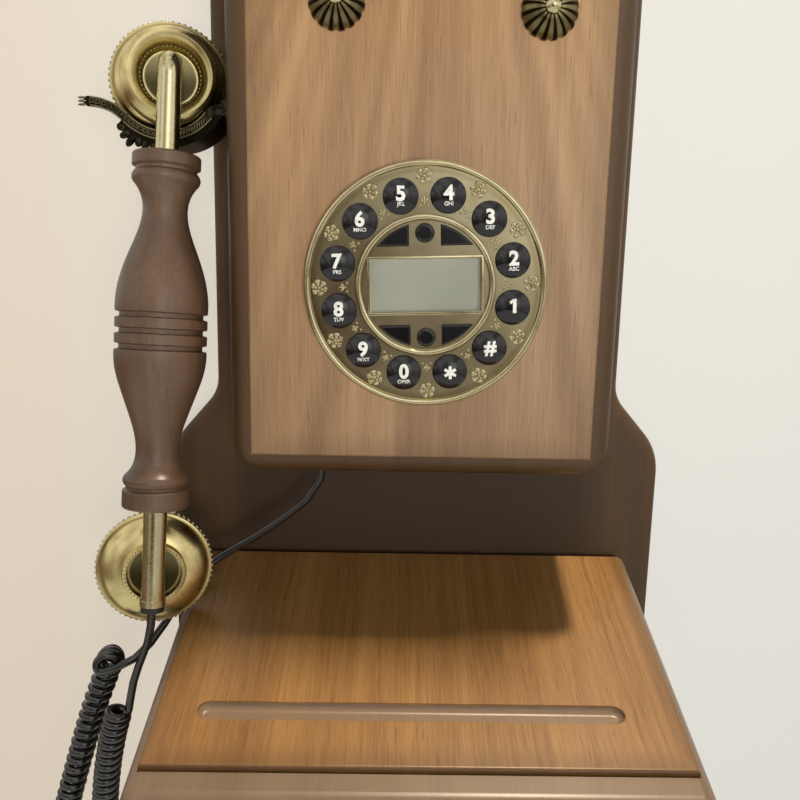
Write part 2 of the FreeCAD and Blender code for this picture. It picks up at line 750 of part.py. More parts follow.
def make_corner_button(name, sx, sy):
    body = new_body("button_" + name)
    flange = sketch_on(body, "XZ_Plane", KEY_FOOT)
    curves(flange, wedge(KEY_GAP + FLANGE, sx, sy))
    pad(body, flange, KEY_SEAT - KEY_FOOT)
    cap = sketch_on(body, "XZ_Plane", KEY_SEAT)
    curves(cap, wedge(0.0, sx, sy))
    pad(body, cap, 78.9 - KEY_SEAT)
    doc.recompute()
    round_edges(body, 0.6, lies_at("y", -78.9))
    body.Placement = dial_turned()


def make_round_button(name, sign):
    body = new_body("button_" + name)
    flange = sketch_on(body, "XZ_Plane", KEY_FOOT)
    circle(flange, 0.0, sign * ROUND_OFFSET, ROUND_BUTTON + KEY_GAP + FLANGE)
    pad(body, flange, KEY_SEAT - KEY_FOOT)
    cap = sketch_on(body, "XZ_Plane", KEY_SEAT)
    circle(cap, 0.0, sign * ROUND_OFFSET, ROUND_BUTTON)
    pad(body, cap, 79.4 - KEY_SEAT)
    doc.recompute()
    round_edges(body, 1.2, lies_at("y", -79.4))
    body.Placement = dial_turned()


MAT_BACK, MAT_FACE, DOME_TOP = 69.6, 70.8, 71.1     # rubber mat, from the wall
HOUSING_BACK, BOARD_BACK = 61.5, 68.0               # dial housing's floor and key board's back


def make_dial_insides():
    """Display window and module, rubber mat, key board and the housing behind the dial."""
    turned = dial_turned()
    lens = new_body("display_window")
    outline = sketch_on(lens, "XZ_Plane", 75.2)
    rectangle(outline, -s.window_half + 0.1, s.window_half - 0.1, -s.window_rise + 0.1, s.window_rise - 0.1)
    pad(lens, outline, 1.7)
    lens.Placement = turned
    module = new_body("display_module")
    outline = sketch_on(module, "XZ_Plane", 71.7)
    rectangle(outline, -s.window_half - 2.5, s.window_half + 2.5, -s.window_rise - 2.5, s.window_rise + 2.5)
    pad(module, outline, 2.6)
    module.Placement = turned
    mat = new_body("keypad_mat")
    sheet_face = sketch_on(mat, "XZ_Plane", MAT_BACK)
    circle(sheet_face, 0.0, 0.0, s.dial_radius - 4.9)
    pad(mat, sheet_face, MAT_FACE - MAT_BACK)
    doc.recompute()
    dome = sketch_on(mat, "XZ_Plane", MAT_FACE - 0.2)
    first = math.radians(75)
    circle(dome, s.key_ring * math.cos(first), s.key_ring * math.sin(first), 3.2)
    bump = pad(mat, dome, DOME_TOP - MAT_FACE + 0.2)
    doc.recompute()
    around(mat, bump, dome, len(KEY_NAMES))
    mat.Placement = turned
    board = new_body("key_board")
    disc = sketch_on(board, "XZ_Plane", BOARD_BACK)
    circle(disc, 0.0, 0.0, s.dial_radius - 4.9)
    pad(board, disc, MAT_BACK - BOARD_BACK)
    board.Placement = turned
    housing = new_body("dial_housing")
    outer = sketch_on(housing, "XZ_Plane", HOUSING_BACK)
    circle(outer, 0.0, 0.0, s.dial_radius - 3.1)
    pad(housing, outer, s.panel_front - HOUSING_BACK)
    doc.recompute()
    wide = sketch_on(housing, "XZ_Plane", s.panel_front)
    circle(wide, 0.0, 0.0, s.dial_radius - 4.7)
    pocket(housing, wide, s.panel_front - BOARD_BACK)
    deep = sketch_on(housing, "XZ_Plane", BOARD_BACK)
    circle(deep, 0.0, 0.0, s.dial_radius - 6.8)
    pocket(housing, deep, BOARD_BACK - HOUSING_BACK - 1.5)
    housing.Placement = turned


# ---------------------------------------------------------------- hook

CRADLE = (-112.4, -76.3)                    # centre of the receiver cup, seen from the front
BAND_CENTRE = (-112.2, -75.5)               # centre of the front band's arc
BAND_LINE, BAND_HALF = 24.2, 2.1            # its middle radius and half its width
BAND_FRONT, BAND_BACK = 50.0, 48.3          # the band, from the wall
SADDLE_IN, SADDLE_OUT = 25.9, 28.6          # the saddle under the cup
SADDLE_FRONT, SADDLE_BACK = 49.2, 25.0
ARM_HEIGHT = BAND_CENTRE[1] - 12.4
PIVOT = (-62.0, 43.0)                       # pivot of the hook inside the case: X, from the wall
PIVOT_RADIUS = 2.0


def band_outline():
    """Crescent band whose left end sweeps out to a tip and whose right end runs into the case."""
    cx, cz = BAND_CENTRE
    low, high = BAND_LINE + BAND_HALF, BAND_LINE - BAND_HALF
    left_turn, right_turn = math.radians(45), math.radians(50)
    left_bend, right_bend = 21.8, 8.2

    def on_arc(radius, turn):
        return (cx + radius * math.sin(turn), cz - radius * math.cos(turn), 0)

    def on_bend(side, bend, radius, turn_end, turn):
        ox = cx + side * (BAND_LINE + bend) * math.sin(turn_end)
        oz = cz - (BAND_LINE + bend) * math.cos(turn_end)
        return (ox - side * radius * math.sin(turn), oz + radius * math.cos(turn), 0)

    def bend_arc(side, bend, radius, turn_end, backwards):
        spots = [on_bend(side, bend, radius, turn_end, t) for t in (turn_end, turn_end / 2, 0)]
        return arc(*reversed(spots)) if backwards else arc(*spots)

    arm_end = float(s.case_wall) - float(s.case_half) + 6.0
    top_left = on_bend(-1, left_bend, left_bend + BAND_HALF, left_turn, 0)
    bottom_left = on_bend(-1, left_bend, left_bend - BAND_HALF, left_turn, 0)
    top_right = on_bend(1, right_bend, right_bend + BAND_HALF, right_turn, 0)
    bottom_right = on_bend(1, right_bend, right_bend - BAND_HALF, right_turn, 0)
    tip = (bottom_left[0] - BAND_HALF, (bottom_left[1] + top_left[1]) / 2, 0)
    return [bend_arc(-1, left_bend, left_bend + BAND_HALF, left_turn, True),
            arc(on_arc(high, -left_turn), on_arc(high, 0), on_arc(high, right_turn)),
            bend_arc(1, right_bend, right_bend + BAND_HALF, right_turn, False),
            line(top_right, (arm_end, top_right[1], 0)),
            line((arm_end, top_right[1], 0), (arm_end, bottom_right[1], 0)),
            line((arm_end, bottom_right[1], 0), bottom_right),
            bend_arc(1, right_bend, right_bend - BAND_HALF, right_turn, True),
            arc(on_arc(low, right_turn), on_arc(low, 0), on_arc(low, -left_turn)),
            bend_arc(-1, left_bend, left_bend - BAND_HALF, left_turn, False),
            arc(bottom_left, tip, top_left)]


def sector_outline(inner, outer):
    """Ring sector under the receiver cup."""
    cx, cz = CRADLE

    def spot(radius, degrees):
        turn = math.radians(degrees)
        return (cx + radius * math.sin(turn), cz - radius * math.cos(turn), 0)
    left, right = -47.0, 63.0
    middle = (left + right) / 2
    return [arc(spot(inner, left), spot(inner, middle), spot(inner, right)),
            line(spot(inner, right), spot(outer, right)),
            arc(spot(outer, right), spot(outer, middle), spot(outer, left)),
            line(spot(outer, left), spot(inner, left))]


def make_hook():
    """Cradle, arm and pivot eye in one casting."""
    body = new_body("cradle_hook")
    band = sketch_on(body, "XZ_Plane", BAND_BACK)
    curves(band, band_outline())
    pad(body, band, BAND_FRONT - BAND_BACK)
    saddle = sketch_on(body, "XZ_Plane", SADDLE_BACK)
    curves(saddle, sector_outline(SADDLE_IN, SADDLE_OUT))
    pad(body, saddle, SADDLE_FRONT - SADDLE_BACK)
    web = sketch_on(body, "XZ_Plane", BAND_BACK)
    curves(web, sector_outline(SADDLE_IN - 2.0, SADDLE_OUT))
    pad(body, web, BAND_FRONT - 0.4 - BAND_BACK)
    bar = sketch_on(body, "XZ_Plane", 40.0)
    rectangle(bar, CRADLE[0] + 24.2, -46.0, ARM_HEIGHT - 3.0, ARM_HEIGHT + 3.0)
    circle(bar, PIVOT[0], ARM_HEIGHT, PIVOT_RADIUS + 0.05)
    pad(body, bar, 10.0)
    doc.recompute()


def make_hook_bracket():
    """Bent steel bracket on the case wall that carries the hook's pivot pin."""
    body = new_body("hook_bracket")
    side = sketch_on(body, "XY_Plane", ARM_HEIGHT - 9.0)
    wall = s.case_wall - s.case_half
    polygon(side, [(wall, -54.5), (PIVOT[0] + 6.0, -54.5), (PIVOT[0] + 6.0, -53.0),
                   (wall + 1.5, -53.0), (wall + 1.5, -36.9), (PIVOT[0] + 6.0, -36.9),
                   (PIVOT[0] + 6.0, -35.4), (wall, -35.4)])
    pad(body, side, 20.0)
    doc.recompute()
    gate = sketch_on(body, "YZ_Plane", wall + 1.5)
    rectangle(gate, -52.0, -38.5, ARM_HEIGHT - 5.5, ARM_HEIGHT + 8.5)
    pocket(body, gate, 1.5)
    eye = sketch_on(body, "XZ_Plane", 54.5)
    circle(eye, PIVOT[0], ARM_HEIGHT, PIVOT_RADIUS)
    pocket(body, eye, 19.1)


def make_hook_pin():
    body = new_body("hook_pin")
    pin = sketch_on(body, "XZ_Plane", 34.9)
    circle(pin, PIVOT[0], ARM_HEIGHT, PIVOT_RADIUS)
    pad(body, pin, 20.1)


def make_hook_switch():
    """Switch block under the hook's tail, with its short plunger."""
    body = new_body("hook_switch")
    block = sketch_on(body, "XZ_Plane", 38.0)
    rectangle(block, -58.0, -38.0, ARM_HEIGHT + 7.0, ARM_HEIGHT + 17.0)
    pad(body, block, 8.0)
    plunger = sketch_on(body, "XY_Plane", ARM_HEIGHT + 3.4)
    circle(plunger, -50.0, -42.0, 1.4)
    pad(body, plunger, 4.0)
    post = sketch_on(body, "XZ_Plane", s.board_thick)
    rectangle(post, -46.0, -38.0, ARM_HEIGHT + 8.0, ARM_HEIGHT + 16.0)
    pad(body, post, 38.5 - s.board_thick)


# ---------------------------------------------------------------- electrics in the case

def make_main_board():
    """Telephone circuit board with its larger components, on four pillars."""
    body = new_body("main_board")
    board = sketch_on(body, "XZ_Plane", 24.0)
    rectangle(board, -30.0, 50.0, -226.0, -166.0)
    pad(body, board, 1.6)
    lumps = ((-22.0, -6.0, -190.0, -174.0, 12.0), (2.0, 14.0, -184.0, -172.0, 8.0),
             (20.0, 44.0, -186.0, -178.0, 4.0), (-20.0, 6.0, -214.0, -204.0, 3.0),
             (20.0, 30.0, -216.0, -206.0, 10.0))
    for left, right, low, high, rise in lumps:
        lump = sketch_on(body, "XZ_Plane", 25.4)
        rectangle(lump, left, right, low, high)
        pad(body, lump, rise)


def make_pillars():
    pillars = [primitive("Cylinder", "pillar_%d_%d" % (x, z), (x, -s.board_thick, z), FACING,
                         Radius=3.0, Height=24.0 - s.board_thick)
               for x in (-26, 46) for z in (-222, -170)]
    keep(join("pillars", "Compound", pillars), "board_pillars")


def make_ringer():
    """Ringer loudspeaker: magnet, basket and cone, facing forward on the backboard."""
    body = new_body("ringer_speaker")
    profile = sketch_on(body, "YZ_Plane")
    points = [(-15.0, 0.0), (-15.0, 13.0), (-21.0, 13.0), (-21.0, 16.0), (-29.0, 25.0),
              (-31.0, 25.0), (-31.0, 22.5), (-24.0, 9.0), (-24.0, 7.0), (-27.0, 0.0)]
    polygon(profile, points)
    revolve(body, profile, "H_Axis")
    place(body, 0.0, 0.0, -112.0 + 60.0)


def make_line_jack():
    """Modular line socket in the case's underside, its mouth facing down."""
    body = new_body("line_jack")
    block = sketch_on(body, "XY_Plane", s.case_bottom + 0.2)
    rectangle(block, JACK[0] - 8.0, JACK[0] + 8.0, -JACK[1] - 7.0, -JACK[1] + 7.0)
    pad(body, block, 15.0)
    doc.recompute()
    mouth = sketch_on(body, "XY_Plane", s.case_bottom + 12.2)
    rectangle(mouth, JACK[0] - 5.0, JACK[0] + 5.0, -JACK[1] - 3.5, -JACK[1] + 3.5)
    pocket(body, mouth, 12.0)


def make_cord_grommet():
    """Rubber grommet that the cord's tail leaves the case through."""
    body = new_body("cord_grommet")
    profile = sketch_on(body, "XZ_Plane")
    bore = s.cord_thick * 0.5 + 0.05
    polygon(profile, [(bore, s.case_bottom - 3.0), (4.2, s.case_bottom - 3.0), (6.5, s.case_bottom - 1.6),
                      (6.5, s.case_bottom), (5.0, s.case_bottom), (5.0, s.case_bottom + s.case_wall),
                      (6.5, s.case_bottom + s.case_wall), (6.5, s.case_bottom + s.case_wall + 1.6),
                      (bore, s.case_bottom + s.case_wall + 1.6)])
    revolve(body, profile, "V_Axis")
    place(body, TAIL_HOLE[0], -TAIL_HOLE[1], 0.0)


# ---------------------------------------------------------------- handset

GRIP_MIDDLE = Vector(-110.5, -72.8, -182.7)
LEAN, TILT, TWIST = 2.0, 6.5, 14.0          # lean to the case, foot to the front, cups to the left
GROOVES = (65.0, 71.6, 78.2)                # the three grooves round the middle, from the grip's top


def handset_frame():
    turn = Rotation(Vector(0, 1, 0), LEAN).multiply(Rotation(Vector(1, 0, 0), -TILT))
    return Placement(GRIP_MIDDLE, turn.multiply(Rotation(Vector(0, 0, 1), TWIST)))


def grip_edges():
    """Half outline of the turned grip from its bore outwards, top to bottom."""
    top = float(s.grip_length) / 2
    full = float(s.grip_radius)
    bore = float(s.rod_radius) + 0.05
    waist, neck, low_neck = 12.4, 9.1, 8.9
    width, depth = 2.7, 1.8

    def at(radius, down):
        return (radius, top - down, 0)

    def spline(points):
        curve = Part.BSplineCurve()
        curve.interpolate([Vector(*at(r, d)) for r, d in points])
        return curve

    edges = [line(at(bore, 0), at(12.8, 0)), arc(at(12.8, 0), at(13.55, 0.35), at(13.85, 1.1)),
             line(at(13.85, 1.1), at(13.85, 5.0)), line(at(13.85, 5.0), at(waist, 5.9)),
             line(at(waist, 5.9), at(waist, 7.0)), arc(at(waist, 7.0), at(13.8, 9.2), at(13.2, 11.8)),
             spline([(13.2, 11.8), (10.6, 15.6), (neck, 21.5), (10.8, 32.0), (14.9, 43.0),
                     (18.0, 54.0), (full, GROOVES[0])])]
    for start, end in zip(GROOVES, GROOVES[1:] + (None,)):
        inner = full - depth
        edges += [line(at(full, start), at(inner, start + 0.5)),
                  line(at(inner, start + 0.5), at(inner, start + width - 0.5)),
                  line(at(inner, start + width - 0.5), at(full, start + width))]
        if end:
            edges.append(line(at(full, start + width), at(full, end)))
    edges += [spline([(full, GROOVES[2] + width), (18.4, 88.0), (15.6, 98.0), (11.6, 109.5),
                      (low_neck, 121.5), (10.0, 129.5), (13.0, 133.6)]),
              arc(at(13.0, 133.6), at(13.7, 136.2), at(waist, 138.2)),
              line(at(waist, 138.2), at(waist, 139.0)), line(at(waist, 139.0), at(13.85, 140.0)),
              line(at(13.85, 140.0), at(13.85, 146.3)), arc(at(13.85, 146.3), at(13.5, 147.15), at(12.6, 147.5)),
              line(at(12.6, 147.5), at(bore, 147.5)), line(at(bore, 147.5), at(bore, 0))]
    return edges


def make_grip():
    body = new_body("handset_grip")
    profile = sketch_on(body, "XZ_Plane")
    curves(profile, grip_edges())
    revolve(body, profile, "V_Axis")
    body.Placement = handset_frame()


def make_rod():
    """Brass tube through the grip, bent back at the top into the receiver cup."""
    radius, wall = float(s.rod_radius), 1.0
    bend = 6.2
    bend_height = float(s.ear_height) + 3.3
    low = Vector(0, 0, float(s.rod_end))
    start = Vector(0, 0, bend_height - bend)
    corner = Vector(0, bend * (1 - math.sqrt(0.5)), start.z + bend * math.sqrt(0.5))
    level = Vector(0, bend, bend_height)
    inside = Vector(0, CUP_FLOOR - 0.1, bend_height)
    path = Part.Wire([Part.LineSegment(low, start).toShape(), Part.Arc(start, corner, level).toShape(),
                      Part.LineSegment(level, inside).toShape()])

    def tube(r):
        ring = Part.Wire(Part.Circle(low, Vector(0, 0, 1), r).toShape())
        return path.makePipeShell([ring], True, False)
    solid_part("handset_rod", tube(radius).cut(tube(radius - wall)), handset_frame())


CUP_FLOOR = 15.0                            # back wall of a cup's centre, behind the tube's axis
CUP_RIM = 21.0                              # plane of the beaded rim, behind the tube's axis
CUP_MOUTH = 24.0                            # mouth of the cup


def cup_profile(edges_in_front):
    """Closed half outline of a cup shell: the given front face, the rim, the mouth and the inside."""
    rim = float(s.cup_radius)
    return edges_in_front + [
        line((19.6, rim - 1.7, 0), (19.8, rim - 0.6, 0)),
        arc((19.8, rim - 0.6, 0), (CUP_RIM, rim, 0), (22.2, rim - 0.6, 0)),
        line((22.2, rim - 0.6, 0), (CUP_MOUTH, rim - 1.2, 0)),
        line((CUP_MOUTH, rim - 1.2, 0), (CUP_MOUTH, rim - 3.0, 0)),
        arc((CUP_MOUTH, rim - 3.0, 0), (19.8, 19.3, 0), (CUP_FLOOR + 2.0, 13.0, 0)),
        line((CUP_FLOOR + 2.0, 13.0, 0), (CUP_FLOOR + 2.0, 0, 0))]


def make_ear_cup():
    """Receiver shell: a rounded ridge round a funnel, with the tube's end in the funnel's floor."""
    body = new_body("ear_cup")
    profile = sketch_on(body, "YZ_Plane")
    rim = float(s.cup_radius)
    front = [line((CUP_FLOOR + 2.0, 0, 0), (CUP_FLOOR, 0, 0)),
             line((CUP_FLOOR, 0, 0), (CUP_FLOOR, 11.4, 0)), line((CUP_FLOOR, 11.4, 0), (13.2, 12.6, 0)),
             arc((13.2, 12.6, 0), (9.6, 14.2, 0), (8.0, 17.3, 0)),
             arc((8.0, 17.3, 0), (10.0, 19.9, 0), (15.2, 20.7, 0)),
             line((15.2, 20.7, 0), (17.2, 22.4, 0)), line((17.2, 22.4, 0), (19.6, rim - 1.7, 0))]
    curves(profile, cup_profile(front))
    revolve(body, profile, "H_Axis")
    doc.recompute()
    body.Placement = handset_frame().multiply(Placement(Vector(0, 0, float(s.ear_height)), Rotation()))


def make_mouth_cup():
    """Transmitter shell: a smooth dome with a raised ring, and the post that holds it to the tube."""
    body = new_body("mouth_cup")
    profile = sketch_on(body, "YZ_Plane")
    rim = float(s.cup_radius)
    post, gap = 3.2, float(s.rod_radius) + 0.1
    front = [line((CUP_FLOOR + 2.0, 0, 0), (gap, 0, 0)), line((gap, 0, 0), (gap, post, 0)),
             line((gap, post, 0), (12.5, post, 0)), line((12.5, post, 0), (12.5, 11.2, 0)),
             line((12.5, 11.2, 0), (8.4, 11.8, 0)), line((8.4, 11.8, 0), (8.2, 13.2, 0)),
             line((8.2, 13.2, 0), (10.2, 13.9, 0)),
             arc((10.2, 13.9, 0), (13.0, 19.8, 0), (19.6, rim - 1.7, 0))]
    curves(profile, cup_profile(front))
    revolve(body, profile, "H_Axis")
    body.Placement = handset_frame().multiply(Placement(Vector(0, 0, float(s.mouth_height)), Rotation()))


def make_cup_insides(name, height, capsule_depth, holes, hole_radius):
    """Capsule inside a cup and the pierced cap over its mouth."""
    frame = handset_frame().multiply(Placement(Vector(0, 0, float(height)), Rotation()))
    back = Vector(0, 1, 0)
    start = CUP_FLOOR + 2.1
    capsule = Part.makeCylinder(12.0, capsule_depth, Vector(0, start, 0), back)
    solid_part(name + "_capsule", capsule, frame)
    radius = float(s.cup_radius) - 1.2
    disc = Part.makeCylinder(radius, 1.6, Vector(0, CUP_MOUTH, 0), back)
    crown = Part.makeSphere(52.0, Vector(0, CUP_MOUTH + 4.6 - 52.0, 0))
    dome = crown.common(Part.makeCylinder(radius - 1.2, 5.0, Vector(0, CUP_MOUTH + 1.5, 0), back))
    cap = disc.fuse(dome)
    for ring in range(2):
        count = holes * (ring + 1)
        for i in range(count):
            turn = 2 * math.pi * i / count
            spot = Vector(5.0 * (ring + 1) * math.cos(turn), CUP_MOUTH - 1, 5.0 * (ring + 1) * math.sin(turn))
            cap = cap.cut(Part.makeCylinder(hole_radius, 8.0, spot, back))
    solid_part(name + "_cap", cap.removeSplitter(), frame)


def make_rod_end():
    """Brass end ring of the tube and the black bushing that the cord leaves."""
    frame = handset_frame()
    end = float(s.rod_end)
    outer, bore = float(s.rod_radius) + 0.5, float(s.rod_radius) + 0.05
    collar = Part.makeCylinder(outer, 2.6, Vector(0, 0, end - 0.6))
    collar = collar.cut(Part.makeCylinder(bore, 2.1, Vector(0, 0, end)))
    collar = collar.cut(Part.makeCylinder(3.0, 0.7, Vector(0, 0, end - 0.65)))
    solid_part("rod_end_ring", collar, frame)
    hole = float(s.cord_thick) / 2 + 0.05
    bushing = Part.makeCylinder(4.9, 2.6, Vector(0, 0, end - 3.2))
    bushing = bushing.fuse(Part.makeCylinder(2.95, 6.6, Vector(0, 0, end - 0.6)))
    bushing = bushing.cut(Part.makeCylinder(hole, 12.0, Vector(0, 0, end - 4.0)))
    solid_part("cord_bushing", bushing.removeSplitter(), frame)


# ---------------------------------------------------------------- cord

LEAD_ROUTE = ((-118.8, -86.0, -320.0), (-124.8, -85.0, -335.0))
COIL_ROUTE = ((-132.0, -83.2, -350.0), (-137.3, -80.0, -366.0), (-143.2, -75.2, -396.0),
              (-146.5, -71.0, -432.0), (-146.2, -69.0, -468.0), (-147.0, -67.5, -494.0),
              (-155.0, -66.0, -510.0), (-169.0, -65.0, -513.0), (-180.0, -64.0, -500.0),
              (-181.0, -63.0, -474.0), (-175.0, -62.3, -444.0), (-167.0, -62.0, -414.0),
              (-159.5, -61.8, -388.0), (-153.0, -61.5, -366.0), (-146.5, -60.5, -348.0),
              (-141.5, -62.0, -335.5), (-139.4, -70.0, -332.0), (-139.2, -77.5, -332.4))
TAIL_ROUTE = ((-125.4, -77.0, -329.6), (-117.0, -60.5, -320.0), (-107.0, -45.0, -302.4),
              (-93.0, -39.2, -293.0), (-77.0, -38.6, -284.0), (-60.0, -38.6, -271.5))
LOOP_FOOT = (0.5, 0.0, -0.87)                # where the tail leaves the last loop, seen from the front
LEAD_GAP = 0.5                              # gap between the lead and the first curl
TIGHT, LOOSE = 4.15, 4.85                   # pitch of the curls at the handset and at the case
LEAST_OPENING = 0.55                        # least opening between curls on the inside of a bend
TURN_SAFE = 0.45                            # share of the shorter run that an arc may use


def rounded_route(points):
    """Straight runs joined by tangent arcs, as large as their runs allow; prints the radii."""
    edges, radii = [], []
    here = points[0]
    for before, corner, after in zip(points, points[1:], points[2:]):
        back, ahead = before - corner, after - corner
        cut = TURN_SAFE * min(back.Length, ahead.Length)
        back.normalize()
        ahead.normalize()
        bend = (math.pi - back.getAngle(ahead)) / 2
        radius = cut / math.tan(bend)
        middle = back + ahead
        middle.normalize()
        reach = radius / math.cos(bend) - radius
        start, end = corner + back * cut, corner + ahead * cut
        edges += [Part.LineSegment(here, start).toShape(),
                  Part.Arc(start, corner + middle * reach, end).toShape()]
        radii.append(round(radius, 1))
        here = end
    edges.append(Part.LineSegment(here, points[-1]).toShape())
    print("radii of the cord's bends:", radii)
    return edges


def tube_along(edges, start, direction):
    """A round tube along a path, checked against its section times its length."""
    path = Part.Wire(edges)
    radius = float(s.cord_thick) / 2
    ring = Part.Wire(Part.Circle(start, direction, radius).toShape())
    tube = path.makePipeShell([ring], True, False)
    share = tube.Volume / (math.pi * radius ** 2 * path.Length)
    print("cord piece: length %.1f mm, volume over section times length %.3f" % (path.Length, share))
    return tube


def plain_tube(points):
    points = [Vector(*p) for p in points]
    return tube_along(rounded_route(points), points[0], points[1] - points[0])


def route_curve(points):
    """Quadratic curve pulled by the route's points."""
    count = len(points)
    curve = Part.BSplineCurve()
    poles = [Vector(*p) for p in points]
    knots = [float(i) for i in range(count - 1)]
    curve.buildFromPolesMultsKnots(poles, [3] + [1] * (count - 3) + [3], knots, False, 2)
    return curve


def curl_places(curve):
    """Parameters a half turn apart: the curls open where the route bends."""
    length = curve.length()
    steps = 1500
    radius, thick = float(s.curl_radius), float(s.cord_thick)
    phases = [0.0]
    for i in range(steps):
        share = (i + 0.5) / steps
        u = curve.parameterAtDistance(share * length, curve.FirstParameter)
        pitch = TIGHT + (LOOSE - TIGHT) * share
        inside = (thick + LEAST_OPENING) / (1 - radius * curve.curvature(u))
        phases.append(phases[-1] + length / steps / max(pitch, inside))
    half_turns = int(2 * phases[-1])
    places = []
    i = 0
    for k in range(half_turns + 1):
        wanted = phases[-1] * k / half_turns
        while i < steps - 1 and phases[i + 1] < wanted:
            i += 1
        part = (wanted - phases[i]) / (phases[i + 1] - phases[i])
        distance = min(length, max(0.0, (i + part) / steps * length))
        places.append((curve.parameterAtDistance(distance, curve.FirstParameter), distance))
    print("curls:", half_turns / 2)
    return places


def curl_heading(ahead, out, step):
    """Heading of a curl that has moved out from the route and climbs a step each half turn."""
    way = ahead.cross(out) * (math.pi * float(s.curl_radius)) + ahead * step
    return way.normalize()


def curl_points(curve):
    """Places, outward ways and headings of the curls, one each half turn, round the route's curve."""
    places = curl_places(curve)
    radius = float(s.curl_radius)
    side = Vector(0, 1, 0)
    result = []
    for i, (u, distance) in enumerate(places):
        before, after = places[max(i - 1, 0)][1], places[min(i + 1, len(places) - 1)][1]
        step = (after - before) / (2 if 0 < i < len(places) - 1 else 1)
        ahead = curve.tangent(u)[0]
        side = side - ahead * side.dot(ahead)
        side.normalize()
        across = ahead.cross(side)
        turn = math.pi * i
        out = side * math.cos(turn) + across * math.sin(turn)
        result.append((curve.value(u) + out * radius, out, curl_heading(ahead, out, step)))
    return result


def coil_stops(curve):
    """The curls with their ends: the lead joins on the right, the tail leaves the last loop's foot."""
    radius = float(s.curl_radius)
    curls = curl_points(curve)
    down = curve.tangent(curve.FirstParameter)[0]
    beside = down.cross(Vector(0, 1, 0)).normalize()
    head = (curve.value(curve.FirstParameter) + beside * radius, down)
    ahead = curve.tangent(curve.LastParameter)[0]
    out = Vector(*LOOP_FOOT)
    out = (out - ahead * out.dot(ahead)).normalize()
    before = curls[-2][1]
    turn = math.atan2(before.cross(out).dot(ahead), before.dot(out)) % (2 * math.pi)
    kept = curls[3:-1] if 0.5 * math.pi <= turn <= 1.5 * math.pi else curls[3:-2]
    foot = (curve.value(curve.LastParameter) + out * radius, curl_heading(ahead, out, 0.5))
    return [head] + [(spot, way) for spot, _, way in kept] + [foot]


def biarc(first, first_heading, last, last_heading):
    """Two tangent arcs from one point and heading to another."""
    gap = last - first
    both = first_heading + last_heading
    spread = 2 * (1 - first_heading.dot(last_heading))
    reach = gap.dot(both)
    if spread < 1e-9:
        length = gap.dot(gap) / (4 * gap.dot(first_heading))
    else:
        length = (-reach + math.sqrt(reach ** 2 + spread * gap.dot(gap))) / spread
    meeting = (first + last + (first_heading - last_heading) * length) * 0.5
    return [arc_from(first, first_heading, meeting), arc_from(meeting, None, last, last_heading)]


def arc_from(start, heading, end, end_heading=None):
    """Arc between two points that leaves along one heading or arrives along the other."""
    chord = end - start
    known = heading if heading else end_heading
    along_chord = known.dot(chord) / chord.Length
    aside = known - chord * (known.dot(chord) / chord.dot(chord))
    if aside.Length < 1e-6:
        return Part.LineSegment(start, end).toShape()
    aside.normalize()
    if not heading:
        aside = aside * -1
    half = math.acos(max(-1.0, min(1.0, along_chord)))
    height = chord.Length / 2 * math.tan(half / 2)
    return Part.Arc(start, (start + end) * 0.5 + aside * height, end).toShape()


def make_coil():
    """The curly stretch: one unbroken tube of curls with a straight stub at each end."""
    curve = route_curve(COIL_ROUTE)
    thick = float(s.cord_thick)
    stops = coil_stops(curve)
    (head, head_way), (foot, foot_way) = stops[0], stops[-1]
    edges = [Part.LineSegment(head - head_way * thick, head).toShape()]
    for (a, a_way), (b, b_way) in zip(stops, stops[1:]):
        edges += biarc(a, a_way, b, b_way)
    edges.append(Part.LineSegment(foot, foot + foot_way * thick).toShape())
    tube = tube_along(edges, head - head_way * thick, head_way)
    print_least_gap(edges, thick)
    solid_part("cord_coil", tube)
    return head - head_way * thick, foot + foot_way * thick


def print_least_gap(edges, thick):
    """Least distance between stretches of the coil that lie at least half a curl apart."""
    points = []
    for edge in edges:
        first, last = edge.FirstParameter, edge.LastParameter
        points += [edge.valueAt(first + (last - first) * n / 8.0) for n in range(8)]
    window = 22
    least = min((points[i] - points[j]).Length
                for i in range(len(points)) for j in range(i + window, min(i + 80, len(points))))
    radii = [e.Curve.Radius for e in edges if hasattr(e.Curve, "Radius")]
    print("coil: least gap to itself %.2f mm, least radius %.2f mm" % (least - thick, min(radii)))


def make_cord():
    """Lead from the handset, curls, and the tail up into the case."""
    top, bottom = make_coil()
    inside = handset_frame().multVec(Vector(0, 0, float(s.rod_end) + 3.0))
    down = handset_frame().Rotation.multVec(Vector(0, 0, -1))
    last = Vector(*LEAD_ROUTE[-1])
    stop = top - (top - last).normalize() * LEAD_GAP
    lead = [inside, inside + down * 15.5] + [Vector(*p) for p in LEAD_ROUTE] + [stop]
    solid_part("cord_lead", plain_tube(lead))
    under = Vector(TAIL_HOLE[0], -TAIL_HOLE[1], float(s.case_bottom) - 14.3)
    tail = [bottom] + [Vector(*p) for p in TAIL_ROUTE] + [under, under + Vector(0, 0, 22.3)]
    solid_part("cord_tail", plain_tube(tail))


# ---------------------------------------------------------------- assembly

